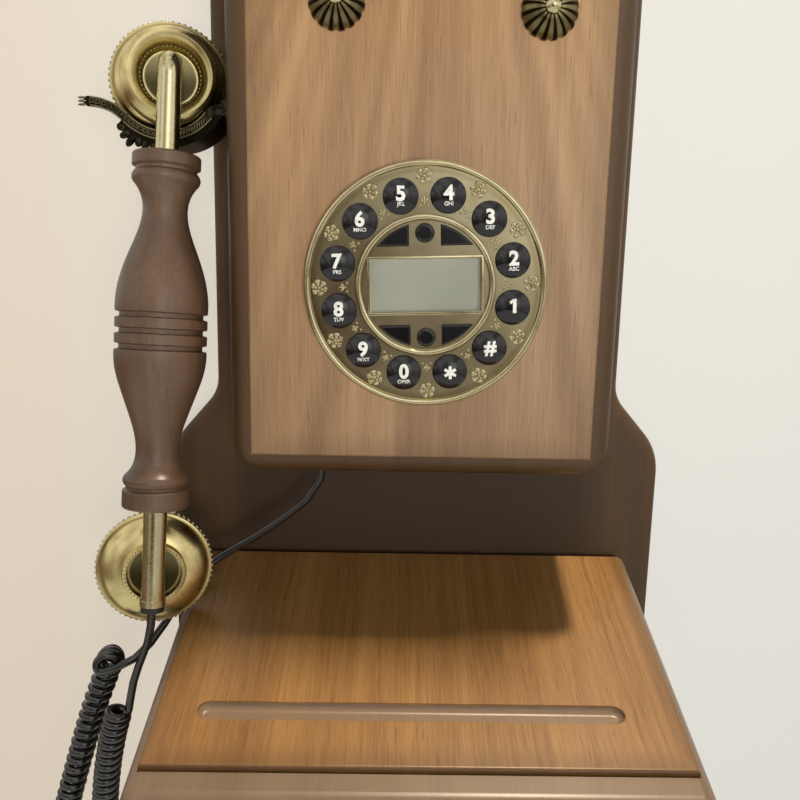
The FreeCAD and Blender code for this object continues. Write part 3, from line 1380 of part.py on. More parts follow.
def make_everything():
    make_backboard()
    make_case_frame()
    make_front_panel()
    make_cornice()
    make_shelf_frame()
    make_writing_slab()
    make_shelf_floor()
    make_hanger_plates()
    make_screws()
    for side, x, z in BELLS:
        make_bell(side, x, z)
    make_bell_screws()
    make_dial_plate()
    for i, name in enumerate(KEY_NAMES):
        make_number_key(name, 15 + 30 * i)
    for name, sx, sy in CORNERS:
        make_corner_button(name, sx, sy)
    make_round_button("top_centre", 1)
    make_round_button("bottom_centre", -1)
    make_dial_insides()
    make_hook()
    make_hook_bracket()
    make_hook_pin()
    make_hook_switch()
    make_main_board()
    make_pillars()
    make_ringer()
    make_line_jack()
    make_cord_grommet()
    make_grip()
    make_rod()
    make_ear_cup()
    make_mouth_cup()
    make_cup_insides("ear", s.ear_height, 4.5, 6, 1.0)
    make_cup_insides("mouth", s.mouth_height, 5.0, 5, 1.2)
    make_rod_end()
    make_cord()


def check_and_export():
    doc.recompute()
    for thing in doc.Objects:
        if "Invalid" in thing.State or "Error" in thing.State:
            raise RuntimeError("failed feature: " + thing.Label)
    os.makedirs("parts", exist_ok=True)
    for part in parts:
        shape = part.Shape
        if shape.isNull() or not shape.isValid() or not shape.Solids:
            raise RuntimeError("bad shape: " + part.Label)
        shape.exportStep("parts/%s.step" % part.Label)
    print(len(parts), "parts written")


make_everything()
check_and_export()
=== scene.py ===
"""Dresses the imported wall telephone: woods, brass, keys, cord, ornament, lamps and camera."""

import math

import bpy
from mathutils import Matrix, Vector


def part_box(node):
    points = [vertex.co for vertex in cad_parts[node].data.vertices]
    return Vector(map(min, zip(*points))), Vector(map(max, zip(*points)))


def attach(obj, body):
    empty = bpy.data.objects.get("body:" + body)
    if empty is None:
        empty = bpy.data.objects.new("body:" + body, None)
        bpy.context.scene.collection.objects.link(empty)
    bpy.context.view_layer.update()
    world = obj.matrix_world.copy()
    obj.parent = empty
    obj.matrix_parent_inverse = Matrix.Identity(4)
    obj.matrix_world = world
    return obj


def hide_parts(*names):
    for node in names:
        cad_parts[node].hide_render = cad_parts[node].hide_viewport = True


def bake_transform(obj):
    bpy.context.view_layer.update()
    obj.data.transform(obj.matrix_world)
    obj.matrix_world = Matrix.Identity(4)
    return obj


bl_info = {
    "name": "Wall telephone dressing",
    "version": (1, 0, 0),
    "blender": (4, 5, 0),
    "location": "View3D > Sidebar > Telephone",
    "description": "Finishes, ornament, cord and stage of a wooden wall telephone",
    "category": "Object",
}

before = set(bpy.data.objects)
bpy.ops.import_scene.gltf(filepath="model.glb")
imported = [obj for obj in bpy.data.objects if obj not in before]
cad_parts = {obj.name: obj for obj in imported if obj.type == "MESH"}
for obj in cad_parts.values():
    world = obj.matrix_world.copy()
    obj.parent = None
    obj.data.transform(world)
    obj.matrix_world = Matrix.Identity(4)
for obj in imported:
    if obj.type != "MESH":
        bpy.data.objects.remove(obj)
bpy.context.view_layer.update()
MM = 0.001

# Frames of the turned and tilted assemblies
GRIP_MIDDLE = Vector((-110.5, -72.8, -182.7)) * MM
SLOPE = math.radians(16.9)
LEAN, TILT, TWIST = math.radians(2.0), math.radians(6.5), math.radians(14.0)
DIAL_CENTRE = Vector((0.0, -77.3, -160.4)) * MM
DIAL_TURN = math.radians(-2.2)
BAND_CENTRE = Vector((-112.2, -50.0, -75.5)) * MM
BAND_SWEEP = Vector((-144.73, -50.0, -108.03)) * MM

# The cord's runs: lead from the handset, the curls' route, tail into the case
ROD_END = 116.0 * MM
LEAD_ROUTE = ((-118.8, -86.0, -320.0), (-124.8, -85.0, -335.0))
COIL_ROUTE = ((-132.0, -83.2, -350.0), (-137.3, -80.0, -366.0), (-143.2, -75.2, -396.0),
              (-146.5, -71.0, -432.0), (-146.2, -69.0, -468.0), (-147.0, -67.5, -494.0),
              (-155.0, -66.0, -510.0), (-169.0, -65.0, -513.0), (-180.0, -64.0, -500.0),
              (-181.0, -63.0, -474.0), (-175.0, -62.3, -444.0), (-167.0, -62.0, -414.0),
              (-159.5, -61.8, -388.0), (-153.0, -61.5, -366.0), (-146.5, -60.5, -348.0),
              (-141.5, -62.0, -335.5), (-139.4, -70.0, -332.0), (-139.2, -77.5, -332.4))
TAIL_ROUTE = ((-125.4, -77.0, -329.6), (-117.0, -60.5, -320.0), (-107.0, -45.0, -302.4),
              (-93.0, -39.2, -293.0), (-77.0, -38.6, -284.0), (-60.0, -38.6, -271.5),
              (-44.0, -41.0, -257.0), (-44.0, -41.0, -234.7))

# The room that polished brass mirrors: pale above, brown below, a window and someone in front
ROOM_ABOVE, ROOM_BELOW = (1.0, 0.975, 0.915), (0.17, 0.11, 0.065)
PERSON, PERSON_WAY = (0.060, 0.030, 0.021), (-0.12, -0.98, -0.16)
WINDOW, WINDOW_WAY = (1.90, 1.92, 1.87), (0.30, -0.90, 0.32)

# Camera: its place, and its turn about the X, Y and Z axes
CAMERA_SPOT = Vector((-13.83, -409.69, -147.29)) * MM
CAMERA_TURN = [math.radians(angle) for angle in (-10.43, -1.14, -0.73)]
CAMERA_LENS = 36.0

# Lamps: place, aim, size, power in watts, colour, and spread in degrees
WARM, PALE = (1.0, 0.83, 0.60), (1.0, 0.97, 0.92)
MIDDLE = (0.0, -0.06, -0.2)
LAMPS = {
    "key_lamp": ((0.24, -0.07, 1.0), (0.0, -0.07, -0.3), (0.14, 0.10), 16.0, WARM, 180.0),
    "front_lamp": ((0.22, -1.25, -0.20), (0.0, -0.07, 0.04), (0.7, 0.5), 1.3, (1.0, 0.95, 0.86), 50.0),
    "fill_lamp": ((-0.85, -1.0, 0.1), MIDDLE, (0.7, 0.7), 0.7, PALE, 180.0),
    "back_lamp": ((0.35, 1.3, 0.1), MIDDLE, (0.8, 0.8), 7.0, PALE, 180.0),
}
MIRRORED_LAMPS = ("key_lamp",)

# Wall and floor: how much they glow, and how much light they take
WALL_GLOW, WALL_INK = 0.70, (0.26, 0.26, 0.26)

# Parts whose finish follows their own shape
SPECIAL = {"bell_left": "bell", "bell_right": "bell", "ear_cup": "ear", "mouth_cup": "mouth",
           "dial_plate": "dial", "cradle_hook": "cradle", "backboard": "board", "shelf_frame": "shelf"}

KEYS = ("4", "3", "2", "1", "hash", "star", "0", "9", "8", "7", "6", "5")
LETTERS = {"2": "ABC", "3": "DEF", "4": "GHI", "5": "JKL", "6": "MNO", "7": "PRS", "8": "TUV",
           "9": "WXY", "0": "OPER"}


def length(name, about, value, low=0.0, high=1.0):
    return bpy.props.FloatProperty(name=name, description=about, default=value, min=low, max=high,
                                   subtype="DISTANCE", unit="LENGTH", precision=5)


def colour(name, about, value):
    return bpy.props.FloatVectorProperty(name=name, description=about, default=value, size=3,
                                         min=0.0, max=1.0, subtype="COLOR")


class TelephoneSizes(bpy.types.PropertyGroup):
    """Sizes of the small pieces that dress the telephone."""

    cord_thick: length("Cord thickness", "Diameter of the cord", 3.6 * MM)
    curl_radius: length("Curl radius", "Radius of the cord's line round its route", 4.4 * MM)
    rim_bead: length("Rim bead", "Radius of a bead on a cup's rim", 0.85 * MM)
    ring_bead: length("Ring bead", "Radius of a bead on a cup's inner ring", 0.55 * MM)
    figure_height: length("Figure height", "Type size of the figures on the keys", 8.0 * MM)
    letter_height: length("Letter height", "Type size of the letters on the keys", 2.2 * MM)
    rose_ring: length("Rose ring", "Distance of the roses from the dial's centre", 43.8 * MM)
    scroll_ring: length("Scroll ring", "Distance of the scrolls from the dial's centre", 33.2 * MM)


class TelephoneColours(bpy.types.PropertyGroup):
    """Colours of the telephone's finishes."""

    case_light: colour("Case light", "Light grain of the dark wood", (0.100, 0.053, 0.021))
    case_dark: colour("Case dark", "Dark grain of the dark wood", (0.050, 0.024, 0.008))
    shelf_light: colour("Shelf light", "Light grain of the shelf's frame", (0.27, 0.190, 0.125))
    shelf_dark: colour("Shelf dark", "Dark grain of the shelf's frame", (0.18, 0.118, 0.072))
    panel_light: colour("Panel light", "Light grain of the panel", (0.47, 0.280, 0.135))
    panel_dark: colour("Panel dark", "Dark grain of the panel", (0.235, 0.125, 0.054))
    slab_light: colour("Slab light", "Light grain of the writing slab", (0.46, 0.250, 0.085))
    slab_dark: colour("Slab dark", "Dark grain of the writing slab", (0.205, 0.090, 0.022))
    grip_light: colour("Grip light", "Light grain of the handset's grip", (0.170, 0.100, 0.062))
    grip_dark: colour("Grip dark", "Dark grain of the handset's grip", (0.076, 0.041, 0.023))
    brass: colour("Brass", "Clean brass", (0.76, 0.645, 0.32))
    patina: colour("Patina", "Brass where it has darkened", (0.36, 0.265, 0.105))
    plating: colour("Plating", "Silvery gold of the dial", (0.66, 0.59, 0.37))
    bronze: colour("Bronze", "Dark bronze of the cradle", (0.27, 0.240, 0.140))
    wall: colour("Wall", "Pale wall behind the telephone", (0.86, 0.845, 0.785))
    # Painted lamplight: the warm colour painted on the wall's left side
    wall_painted_lamplight: colour("Warm wall", "The wall where lamplight warms it", (0.82, 0.715, 0.575))


# ---------------------------------------------------------------- finishes

class Wire:
    """A value in a finish's node tree, with arithmetic."""

    def __init__(self, finish, socket):
        self.finish = finish
        self.socket = socket

    def maths(self, operation, *values):
        sockets = dict(enumerate(values))
        return self.finish.node("ShaderNodeMath", {"operation": operation}, sockets)

    def __add__(self, other):
        return self.maths("ADD", self, other)

    def __radd__(self, other):
        return self.maths("ADD", other, self)

    def __sub__(self, other):
        return self.maths("SUBTRACT", self, other)

    def __rsub__(self, other):
        return self.maths("SUBTRACT", other, self)

    def __mul__(self, other):
        return self.maths("MULTIPLY", self, other)

    def __rmul__(self, other):
        return self.maths("MULTIPLY", other, self)

    def __truediv__(self, other):
        return self.maths("DIVIDE", self, other)

    def __pow__(self, other):
        return self.maths("POWER", self, other)


class Nodes:
    """A node tree, with one method that adds any node to it."""

    def __init__(self, tree):
        self.tree = tree
        tree.nodes.clear()

    def node(self, kind, settings=None, sockets=None, out=0):
        made = self.tree.nodes.new(kind)
        for key, value in (settings or {}).items():
            if key == "stops":
                self.set_stops(made.color_ramp, value)
            else:
                setattr(made, key, value)
        for key, value in (sockets or {}).items():
            if isinstance(value, Wire):
                self.tree.links.new(value.socket, made.inputs[key])
            else:
                made.inputs[key].default_value = value
        return Wire(self, made.outputs[out]) if made.outputs else None

    @staticmethod
    def set_stops(ramp, stops):
        while len(ramp.elements) < len(stops):
            ramp.elements.new(0.5)
        for element, (place, tint) in zip(ramp.elements, stops):
            element.position = place
            element.color = tint

    def split(self, output="Object"):
        """The three coordinates as values."""
        place = self.node("ShaderNodeTexCoord", out=output)
        return [self.node("ShaderNodeSeparateXYZ", sockets={0: place}, out=i) for i in range(3)]

    def vector(self, x, y, z):
        return self.node("ShaderNodeCombineXYZ", sockets={0: x, 1: y, 2: z})

    def noise(self, vector, scale=1.0, detail=2.0, rough=0.5):
        return self.node("ShaderNodeTexNoise", {}, {"Vector": vector, "Scale": scale, "Detail": detail,
                                                    "Roughness": rough}, out=0)

    def step(self, value, low, high, start=0.0, end=1.0):
        """A soft step of the value from low to high."""
        return self.node("ShaderNodeMapRange", {"interpolation_type": "SMOOTHSTEP"},
                         {0: value, 1: low, 2: high, 3: start, 4: end})

    def gap(self, vector, spot):
        """Distance of a vector from a fixed one."""
        return self.node("ShaderNodeVectorMath", {"operation": "DISTANCE"}, {0: vector, 1: spot}, "Value")

    def mix(self, factor, first, second, kind="MIX"):
        """Mixes two colours, each a link or three numbers."""
        inks = [c if isinstance(c, Wire) else (*c, 1.0) for c in (first, second)]
        return self.node("ShaderNodeMix", {"data_type": "RGBA", "blend_type": kind},
                         {0: factor, 6: inks[0], 7: inks[1]}, out=2)


class Finish(Nodes):
    """A material with one Principled shader and the nodes that feed it."""

    def __init__(self, name, **constants):
        self.material = bpy.data.materials.new(name)
        self.material.use_nodes = True
        super().__init__(self.material.node_tree)
        self.shader = self.tree.nodes.new("ShaderNodeBsdfPrincipled")
        end = self.tree.nodes.new("ShaderNodeOutputMaterial")
        self.tree.links.new(self.shader.outputs[0], end.inputs[0])
        for socket, value in constants.items():
            self.shader.inputs[socket.replace("_", " ")].default_value = value

    def bump(self, height, depth, strength=0.6):
        return self.node("ShaderNodeBump", {}, {"Height": height, "Distance": depth,
                                                "Strength": strength})

    def feed(self, **links):
        for socket, wire in links.items():
            self.tree.links.new(wire.socket, self.shader.inputs[socket.replace("_", " ")])
        return self.material


def wood(name, light, dark, grain=(0.6, 0.5, 0.6), shade=None, slope=None, apex=None, gloss=0.42,
         coat=0.15, flecks=0.4, patch=None):
    """Veneer or solid wood with its grain along Z, or along the slope where one is given.

    The grain's three numbers are the contrast of its broad figure, its streaks and its fibre.
    The figure of crown-cut veneer closes towards an apex above it.
    """
    finish = Finish(name, Coat_Weight=coat, Coat_Roughness=0.30, Specular_IOR_Level=0.4)
    x, y, z = finish.split()
    along = z if slope is None else z * math.sin(slope) + y * math.cos(slope)
    depth = y if slope is None else z * math.cos(slope) - y * math.sin(slope)
    across = x if apex is None else (x - apex[0]) / (apex[1] - z) * 0.2
    broad_grain, streak_grain, fibre_grain = grain
    drift = finish.noise(finish.vector(x * 9, depth * 9, along * 4), 1.0, 1.0)
    broad = finish.noise(finish.vector(across * 75 + drift * 1.6, depth * 20, along * 1.3), 1.0, 1.0)
    streak = finish.noise(finish.vector(x * 300 + drift * 3, depth * 120, along * 7), 1.0, 2.0)
    fibre = finish.noise(finish.vector(x * 1300, depth * 1300, along * 42), 1.0, 2.0, 0.6)
    pores = finish.noise(finish.vector(x * 1500, depth * 1500, along * 90), 1.0, 1.0)
    tone = (broad - 0.5) * broad_grain + (streak - 0.5) * streak_grain + (fibre - 0.5) * fibre_grain
    tint = finish.mix(finish.step(tone, -0.42, 0.42), dark, light)
    dark_fleck = finish.step(pores, 0.62, 0.74) * flecks
    pale_fleck = finish.step(pores * 0.6 + streak * 0.4, 0.40, 0.34) * flecks
    tint = finish.mix(dark_fleck, tint, [c * 0.45 for c in dark])
    tint = finish.mix(pale_fleck * 0.5, tint, [min(1.0, c * 1.25) for c in light])
    if shade:
        # Darker where the shade mask says: sunburst on case and panel, painted shade on the board, painted
        # shadow on the slab's front edge
        tint = finish.mix(shade(finish, x, y, z), tint, [c * 0.40 for c in dark])
    if patch:
        # Painted sheen: the groove's greyer colour stands in for its glossy reflection
        tint = finish.mix(patch(finish, y, z), tint, (0.27, 0.205, 0.15))
    relief = finish.bump(fibre * 0.5 - dark_fleck, 0.0001, 0.5)
    rough = fibre * 0.14 + (gloss - 0.06)
    return finish.feed(Base_Color=tint, Roughness=rough, Normal=relief)


def edge_shade(half, low, high, width, most):
    """Darker staining towards the borders of a board."""
    def shade(finish, x, y, z):
        side = finish.step(x.maths("ABSOLUTE", x), half - width, half)
        foot = finish.step(z, low + width, low)
        head = finish.step(z, high - width, high)
        both = side.maths("MAXIMUM", side, foot.maths("MAXIMUM", foot, head))
        return both * most
    return shade


def board_painted_shade(finish, x, y, z):
    """Painted shade: the board is painted darker under the case, where the case shades it."""
    middle = finish.step(x.maths("ABSOLUTE", x), 0.104, 0.080) * finish.step(y, -0.011, -0.0145)
    return middle * finish.step(z, -0.234, -0.250) * 0.75


def groove_painted_sheen(finish, y, z):
    """The pen groove, painted greyer than the slab round it as a painted sheen in place of its glossy
    reflection.
    """
    lift = z * math.cos(SLOPE) - y * math.sin(SLOPE)
    return finish.step(lift, -0.2814, -0.2824) * finish.step(y, -0.136, -0.134) * 0.75


def slab_edges_painted_shadow(finish, x, y, z):
    """Painted shadow: a dark line on the slab's front rounding, where it shades the rail below; its sides
    and front a little darker.
    """
    reach = x.maths("ABSOLUTE", x)
    # Painted shadow under the slab's front edge
    front = finish.step(y, -0.1398, -0.1404) * 0.85
    border = finish.step(reach, 0.0930, 0.1055)
    border = border.maths("MAXIMUM", border, finish.step(y, -0.1290, -0.1404)) * 0.42
    return front.maths("MAXIMUM", front, border)


def brass(name, clean, dark, wear=0.5, rough=0.28, grain=90.0, bump=0.00006):
    """Cast or turned brass, mottled where it has darkened."""
    finish = Finish(name, Metallic=1.0)
    x, y, z = finish.split()
    place = finish.vector(x, y, z)
    cloud = finish.noise(place, grain, 4.0, 0.6)
    fine = finish.noise(place, grain * 14, 2.0, 0.5)
    rubbed = finish.step(cloud + fine * 0.25, 0.62 - wear * 0.4, 0.86 - wear * 0.2)
    tint = finish.mix(rubbed, dark, clean)
    relief = finish.bump(fine, bump, 0.4)
    return finish.feed(Base_Color=tint, Roughness=fine * 0.2 + (rough - 0.05), Normal=relief)


def plastic(name, tint, rough, spread=0.25, coat=0.0, grain=400.0, depth=0.00003, metal=0.0):
    """Moulded or coated surface with a faint unevenness."""
    finish = Finish(name, Coat_Weight=coat, Coat_Roughness=0.08, Metallic=metal)
    x, y, z = finish.split()
    place = finish.vector(x, y, z)
    cloud = finish.noise(place, 60.0, 3.0)
    fine = finish.noise(place, grain, 2.0)
    shade = finish.mix(cloud, [c * (1 - spread) for c in tint], [min(1.0, c * (1 + spread)) for c in tint])
    relief = finish.bump(fine, depth, 0.5)
    return finish.feed(Base_Color=shade, Roughness=cloud * 0.12 + (rough - 0.05), Normal=relief)


def display_finish(name):
    """Grey-green display glass with a soft lighter patch."""
    finish = Finish(name, Coat_Weight=0.6, Coat_Roughness=0.05)
    x, y, z = finish.split()
    cloud = finish.noise(finish.vector(x, y, z), 26.0, 1.0)
    tint = finish.mix(finish.step(cloud, 0.35, 0.7), (0.20, 0.215, 0.155), (0.30, 0.315, 0.235))
    return finish.feed(Base_Color=tint, Roughness=cloud * 0.1 + 0.3)


def board_finish(name):
    """Green lacquered circuit board with paler tracks."""
    finish = Finish(name, Coat_Weight=0.4)
    x, y, z = finish.split()
    tracks = finish.noise(finish.vector(x * 500, y * 60, z * 90), 1.0, 0.0)
    track = finish.step(tracks, 0.5, 0.54)
    tint = finish.mix(track, (0.012, 0.10, 0.040), (0.03, 0.19, 0.08))
    return finish.feed(Base_Color=tint, Roughness=track * 0.1 + 0.35,
                       Normal=finish.bump(track, 0.00004))


def lens_finish(name):
    """Clear lens over the display."""
    finish = Finish(name, Roughness=0.04, Specular_IOR_Level=0.6)
    x, y, z = finish.split()
    haze = finish.noise(finish.vector(x, y, z), 40.0, 2.0)
    tint = finish.mix(haze, (0.70, 0.74, 0.66), (0.85, 0.87, 0.80))
    return finish.feed(Base_Color=tint, Alpha=haze * 0.06 + 0.10)


def place_across(finish, matrix):
    """Coordinates of a turned assembly, as sums of the Object coordinates."""
    turned = matrix.inverted()
    x, y, z = finish.split()
    return [x * row[0] + y * row[1] + z * row[2] + row[3] for row in turned[:3]]


def cup_finish(name, matrix, clean, dark, recess):
    """Turned brass cup: nearly black in its middle from patina and painted shade, lighter towards the
    recess's top; dark along its side wall, rubbed on the ridge.
    """
    finish = Finish(name, Metallic=1.0)
    across, depth, up = place_across(finish, matrix)
    ring = (across * across + up * up) ** 0.5
    place = finish.vector(across, depth, up)
    cloud = finish.noise(place, 120.0, 4.0, 0.6)
    fine = finish.noise(finish.vector(ring * 3000, depth * 3000, cloud), 1.0, 2.0)
    # Painted shade with patina in the recess round the rod, lighter towards its top
    recess_painted_shade = finish.step(ring, recess - 0.0012, recess + 0.0004, 1.0, 0.0)
    recess_painted_shade = recess_painted_shade * finish.step(up, -0.004, 0.011, 0.96, 0.72)
    groove = finish.step(ring, 0.0228, 0.0238) * finish.step(ring, 0.0248, 0.0240)
    worn = finish.step(cloud, 0.20, 0.60) * 0.6 + 0.4
    tint = finish.mix(worn * (1 - groove * 0.7), dark, clean)
    tint = finish.mix(recess_painted_shade, tint, [c * 0.06 for c in dark])
    return finish.feed(Base_Color=tint, Roughness=fine * 0.08 + cloud * 0.08 + 0.20,
                       Normal=finish.bump(fine, 0.00002, 0.25))


def dial_finish(name, clean, dark):
    """Plated dial: bright rim, ring and bezel, polished and also painted brighter as a painted highlight;
    satin ground that darkens beside them.
    """
    finish = Finish(name, Metallic=1.0)
    across, depth, up = place_across(finish, dial_matrix())
    ring = (across * across + up * up) ** 0.5
    place = finish.vector(across, depth, up)
    cloud = finish.noise(place, 45.0, 3.0, 0.5)
    fine = finish.noise(place, 1500.0, 2.0)
    outer = finish.step(ring, 0.0462, 0.0476)
    inner = finish.step(ring, 0.0256, 0.0266) * finish.step(ring, 0.0288, 0.0298, 1.0, 0.0)
    raised = outer.maths("MAXIMUM", outer, inner)
    groove = finish.step(ring, 0.0440, 0.0466) * (1 - outer)
    worn = finish.step(cloud, 0.22, 0.55) * 0.5 + 0.5
    # Raised rim and ring take the clean colour: polish, and partly a painted highlight
    tint = finish.mix(worn.maths("MAXIMUM", worn, raised), dark, clean)
    tint = finish.mix(groove * 0.5, tint, dark)
    rough = fine * 0.10 + cloud * 0.10 + 0.12 - raised * 0.06
    return finish.feed(Base_Color=tint, Roughness=rough, Normal=finish.bump(fine, 0.00002, 0.3))


def cradle_finish(name, clean, dark):
    """Bronze that is near black in the saddle, dark bronze with painted shade, and rubbed along the band's
    face.
    """
    finish = Finish(name, Metallic=1.0)
    x, y, z = finish.split()
    cloud = finish.noise(finish.vector(x, y, z), 260.0, 4.0, 0.6)
    # Painted shade: everything but the band's face is kept near black
    face = finish.step(y, -0.0499, -0.0496, 1.0, 0.0)
    worn = finish.step(cloud, 0.42, 0.72)
    tint = finish.mix(worn * (face * 0.35 + 0.03), dark, clean)
    return finish.feed(Base_Color=tint, Roughness=cloud * 0.2 + 0.34,
                       Normal=finish.bump(cloud, 0.0002, 0.4))


def bell_finish(name, clean, dark):
    """Brass that has darkened between the flutes of the bells."""
    finish = Finish(name, Metallic=1.0)
    x, y, z = finish.split()
    low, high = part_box("bell_left")
    left = (low + high) / 2
    low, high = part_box("bell_right")
    right = (low + high) / 2
    side = finish.step(x, -0.0001, 0.0001)
    dx = x - (side * (right.x - left.x) + left.x)
    dz = z - (side * (right.z - left.z) + left.z)
    turn = dx.maths("ARCTAN2", dz, dx)
    flute = (turn * 16).maths("COSINE", turn * 16) * 0.5 + 0.5
    cloud = finish.noise(finish.vector(x, y, z), 220.0, 3.0)
    rubbed = finish.step(flute + cloud * 0.5, 0.35, 1.0)
    tint = finish.mix(rubbed, dark, clean)
    return finish.feed(Base_Color=tint, Roughness=cloud * 0.2 + 0.22)


def make_finishes():
    """Every finish by the name of its slot."""
    c = bpy.context.scene.telephone_colours
    case_shade = edge_shade(0.0845, -0.2437, 0.02, 0.012, 0.35)
    panel_shade = edge_shade(0.0740, -0.2346, -0.015, 0.013, 0.34)
    black = [v * 0.06 for v in c.bronze]
    grip_grain = (0.3, 0.4, 0.6)
    return {
        "wood_dark": wood("dark_wood", c.case_light, c.case_dark, (0.4, 0.3, 0.3), case_shade, gloss=0.42,
                          coat=0.15, flecks=0.15),
        "board": wood("stained_board_painted_shade", c.case_light, c.case_dark, (0.4, 0.35, 0.3), board_painted_shade,
                      gloss=0.5, coat=0.08, flecks=0.15),
        "shelf": wood("shelf_wood", c.shelf_light, c.shelf_dark, (0.4, 0.3, 0.3), slope=SLOPE,
                      gloss=0.36, coat=0.35, flecks=0.12),
        "wood_panel": wood("panel_veneer", c.panel_light, c.panel_dark, (1.2, 0.40, 0.42), panel_shade,
                           apex=(0.010, 0.10), gloss=0.42, coat=0.25, flecks=0.35),
        "wood_slab": wood("slab_veneer", c.slab_light, c.slab_dark, (0.35, 0.55, 0.5), slab_edges_painted_shadow, SLOPE,
                          gloss=0.36, coat=0.25, flecks=0.4, patch=groove_painted_sheen),
        "wood_grip": wood("grip_wood", c.grip_light, c.grip_dark, grip_grain, gloss=0.36, coat=0.4,
                          flecks=0.15),
        "wood_base": wood("base_board", c.panel_light, c.panel_dark, slope=0.0, gloss=0.7, coat=0.0),
        "brass_aged": brass("aged_brass", c.brass, c.patina, 0.75, 0.24),
        "brass_bright": brass("bright_brass", c.plating, c.patina, 0.95, 0.15),
        "bronze": brass("dark_bronze", c.bronze, black, 0.55, 0.34, 160.0, 0.0001),
        # Lighter bronze of the band's edges: rubbed, and partly a painted highlight
        "edge": brass("rubbed_bronze_painted_highlight", [v * 1.9 for v in c.bronze], c.bronze, 0.7, 0.32),
        "leaf": brass("black_bronze", [v * 0.35 for v in c.bronze], black, 0.3, 0.3),
        "steel": plastic("plated_steel", (0.52, 0.52, 0.53), 0.32, 0.1, metal=1.0),
        "black_gloss": plastic("key_black", (0.0045, 0.0055, 0.0075), 0.12, 0.3, 0.3),
        "black_matt": plastic("moulded_black", (0.020, 0.020, 0.021), 0.5),
        "rubber_black": plastic("rubber_black", (0.018, 0.018, 0.019), 0.75),
        "rubber_grey": plastic("rubber_grey", (0.20, 0.20, 0.21), 0.7),
        "board_green": board_finish("circuit_board"),
        "window": lens_finish("display_lens"),
        "display": display_finish("display_glass"),
        "cord": plastic("cord_black", (0.010, 0.010, 0.011), 0.2, 0.3, 0.6, 200.0),
        "ink": plastic("key_figures_white", (0.85, 0.85, 0.82), 0.4, 0.06),
        "relief": brass("relief_brass", c.plating, [v * 0.8 for v in c.patina], 0.9, 0.2, 420.0, 0.00002),
        "bell": bell_finish("fluted_brass", [v * 0.30 for v in c.brass], [v * 0.03 for v in c.patina]),
        "ear": cup_finish("receiver_brass", handset_matrix(0.1095), c.brass, c.patina, 0.0114),
        "mouth": cup_finish("transmitter_brass", handset_matrix(-0.1055), c.brass, c.patina, 0.0112),
        "dial": dial_finish("dial_brass", c.plating, c.patina),
        "cradle": cradle_finish("cradle_bronze", c.bronze, black),
    }


def dress(obj, finish):
    """Gives a piece one finish."""
    obj.data.materials.clear()
    obj.data.materials.append(finish)


# ---------------------------------------------------------------- modelling

def clear():
    if bpy.context.mode != "OBJECT":
        bpy.ops.object.mode_set(mode="OBJECT")
    bpy.ops.object.select_all(action="DESELECT")


def take(obj):
    """Makes a piece the only one selected."""
    clear()
    obj.select_set(True)
    bpy.context.view_layer.objects.active = obj
    return obj


def start(kind, name, **sizes):
    """Adds a mesh primitive, alone selected."""
    clear()
    getattr(bpy.ops.mesh, "primitive_%s_add" % kind)(**sizes)
    obj = bpy.context.active_object
    obj.name = name
    obj.data.name = name
    return obj


def shape(obj, wanted=None):
    """Enters edit mode with all faces selected, or those whose place and normal pass the test."""
    take(obj)
    mesh = obj.data
    for part in (mesh.vertices, mesh.edges, mesh.polygons):
        part.foreach_set("select", [wanted is None] * len(part))
    if wanted:
        for face in mesh.polygons:
            face.select = wanted(face.center, face.normal)
    bpy.ops.object.mode_set(mode="EDIT")
    bpy.ops.mesh.select_mode(type="FACE")


def done(obj):
    bpy.ops.object.mode_set(mode="OBJECT")
    return obj


def modify(obj, kind, **values):
    """Adds a modifier and applies it."""
    take(obj)
    modifier = obj.modifiers.new(kind.title(), kind)
    for key, value in values.items():
        setattr(modifier, key, value)
    bpy.ops.object.modifier_apply(modifier=modifier.name)
    return obj


def put(obj, matrix):
    """Places a finished mesh, leaving its object at the origin."""
    take(obj)
    obj.matrix_world = matrix
    bpy.ops.object.transform_apply(location=True, rotation=True, scale=True)
    return obj


def join(objects, name):
    clear()
    for obj in objects:
        obj.select_set(True)
    bpy.context.view_layer.objects.active = objects[0]
    bpy.ops.object.join()
    objects[0].name = name
    objects[0].data.name = name
    return objects[0]


def spread(obj, count, axis=(0, 1, 0), turn=2 * math.pi, whole=True):
    """Copies all of a mesh round an axis through the origin."""
    shape(obj)
    angle = turn * (count - 1) / count if whole else -turn
    bpy.ops.mesh.spin(steps=count - 1, dupli=True, angle=angle, center=(0, 0, 0), axis=axis)
    return done(obj)


def smooth(obj, angle=50.0):
    take(obj)
    bpy.ops.object.shade_smooth_by_angle(angle=math.radians(angle))
    return obj


def settle(obj, body, finish, angle=50.0):
    """Finishes a piece: smooth shading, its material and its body."""
    smooth(obj, angle)
    dress(obj, finish)
    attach(obj, body)
    return obj


def handset_matrix(height=0.0):
    turn = Matrix.Rotation(LEAN, 4, "Y") @ Matrix.Rotation(-TILT, 4, "X") @ Matrix.Rotation(TWIST, 4, "Z")
    return Matrix.Translation(GRIP_MIDDLE) @ turn @ Matrix.Translation((0, 0, height))


def dial_matrix(lift=0.0):
    return Matrix.Translation(DIAL_CENTRE - Vector((0, lift, 0))) @ Matrix.Rotation(DIAL_TURN, 4, "Y")


# ---------------------------------------------------------------- cord

def spline_object(points, name):
    """A smooth curve whose control points are the given ones."""
    curve = bpy.data.curves.new(name, "CURVE")
    curve.dimensions = "3D"
    spline = curve.splines.new("NURBS")
    spline.points.add(len(points) - 1)
    for control, point in zip(spline.points, points):
        control.co = (*point, 1.0)
    spline.order_u = 3
    spline.use_endpoint_u = True
    curve.resolution_u = 6
    obj = bpy.data.objects.new(name, curve)
    bpy.context.scene.collection.objects.link(obj)
    return obj


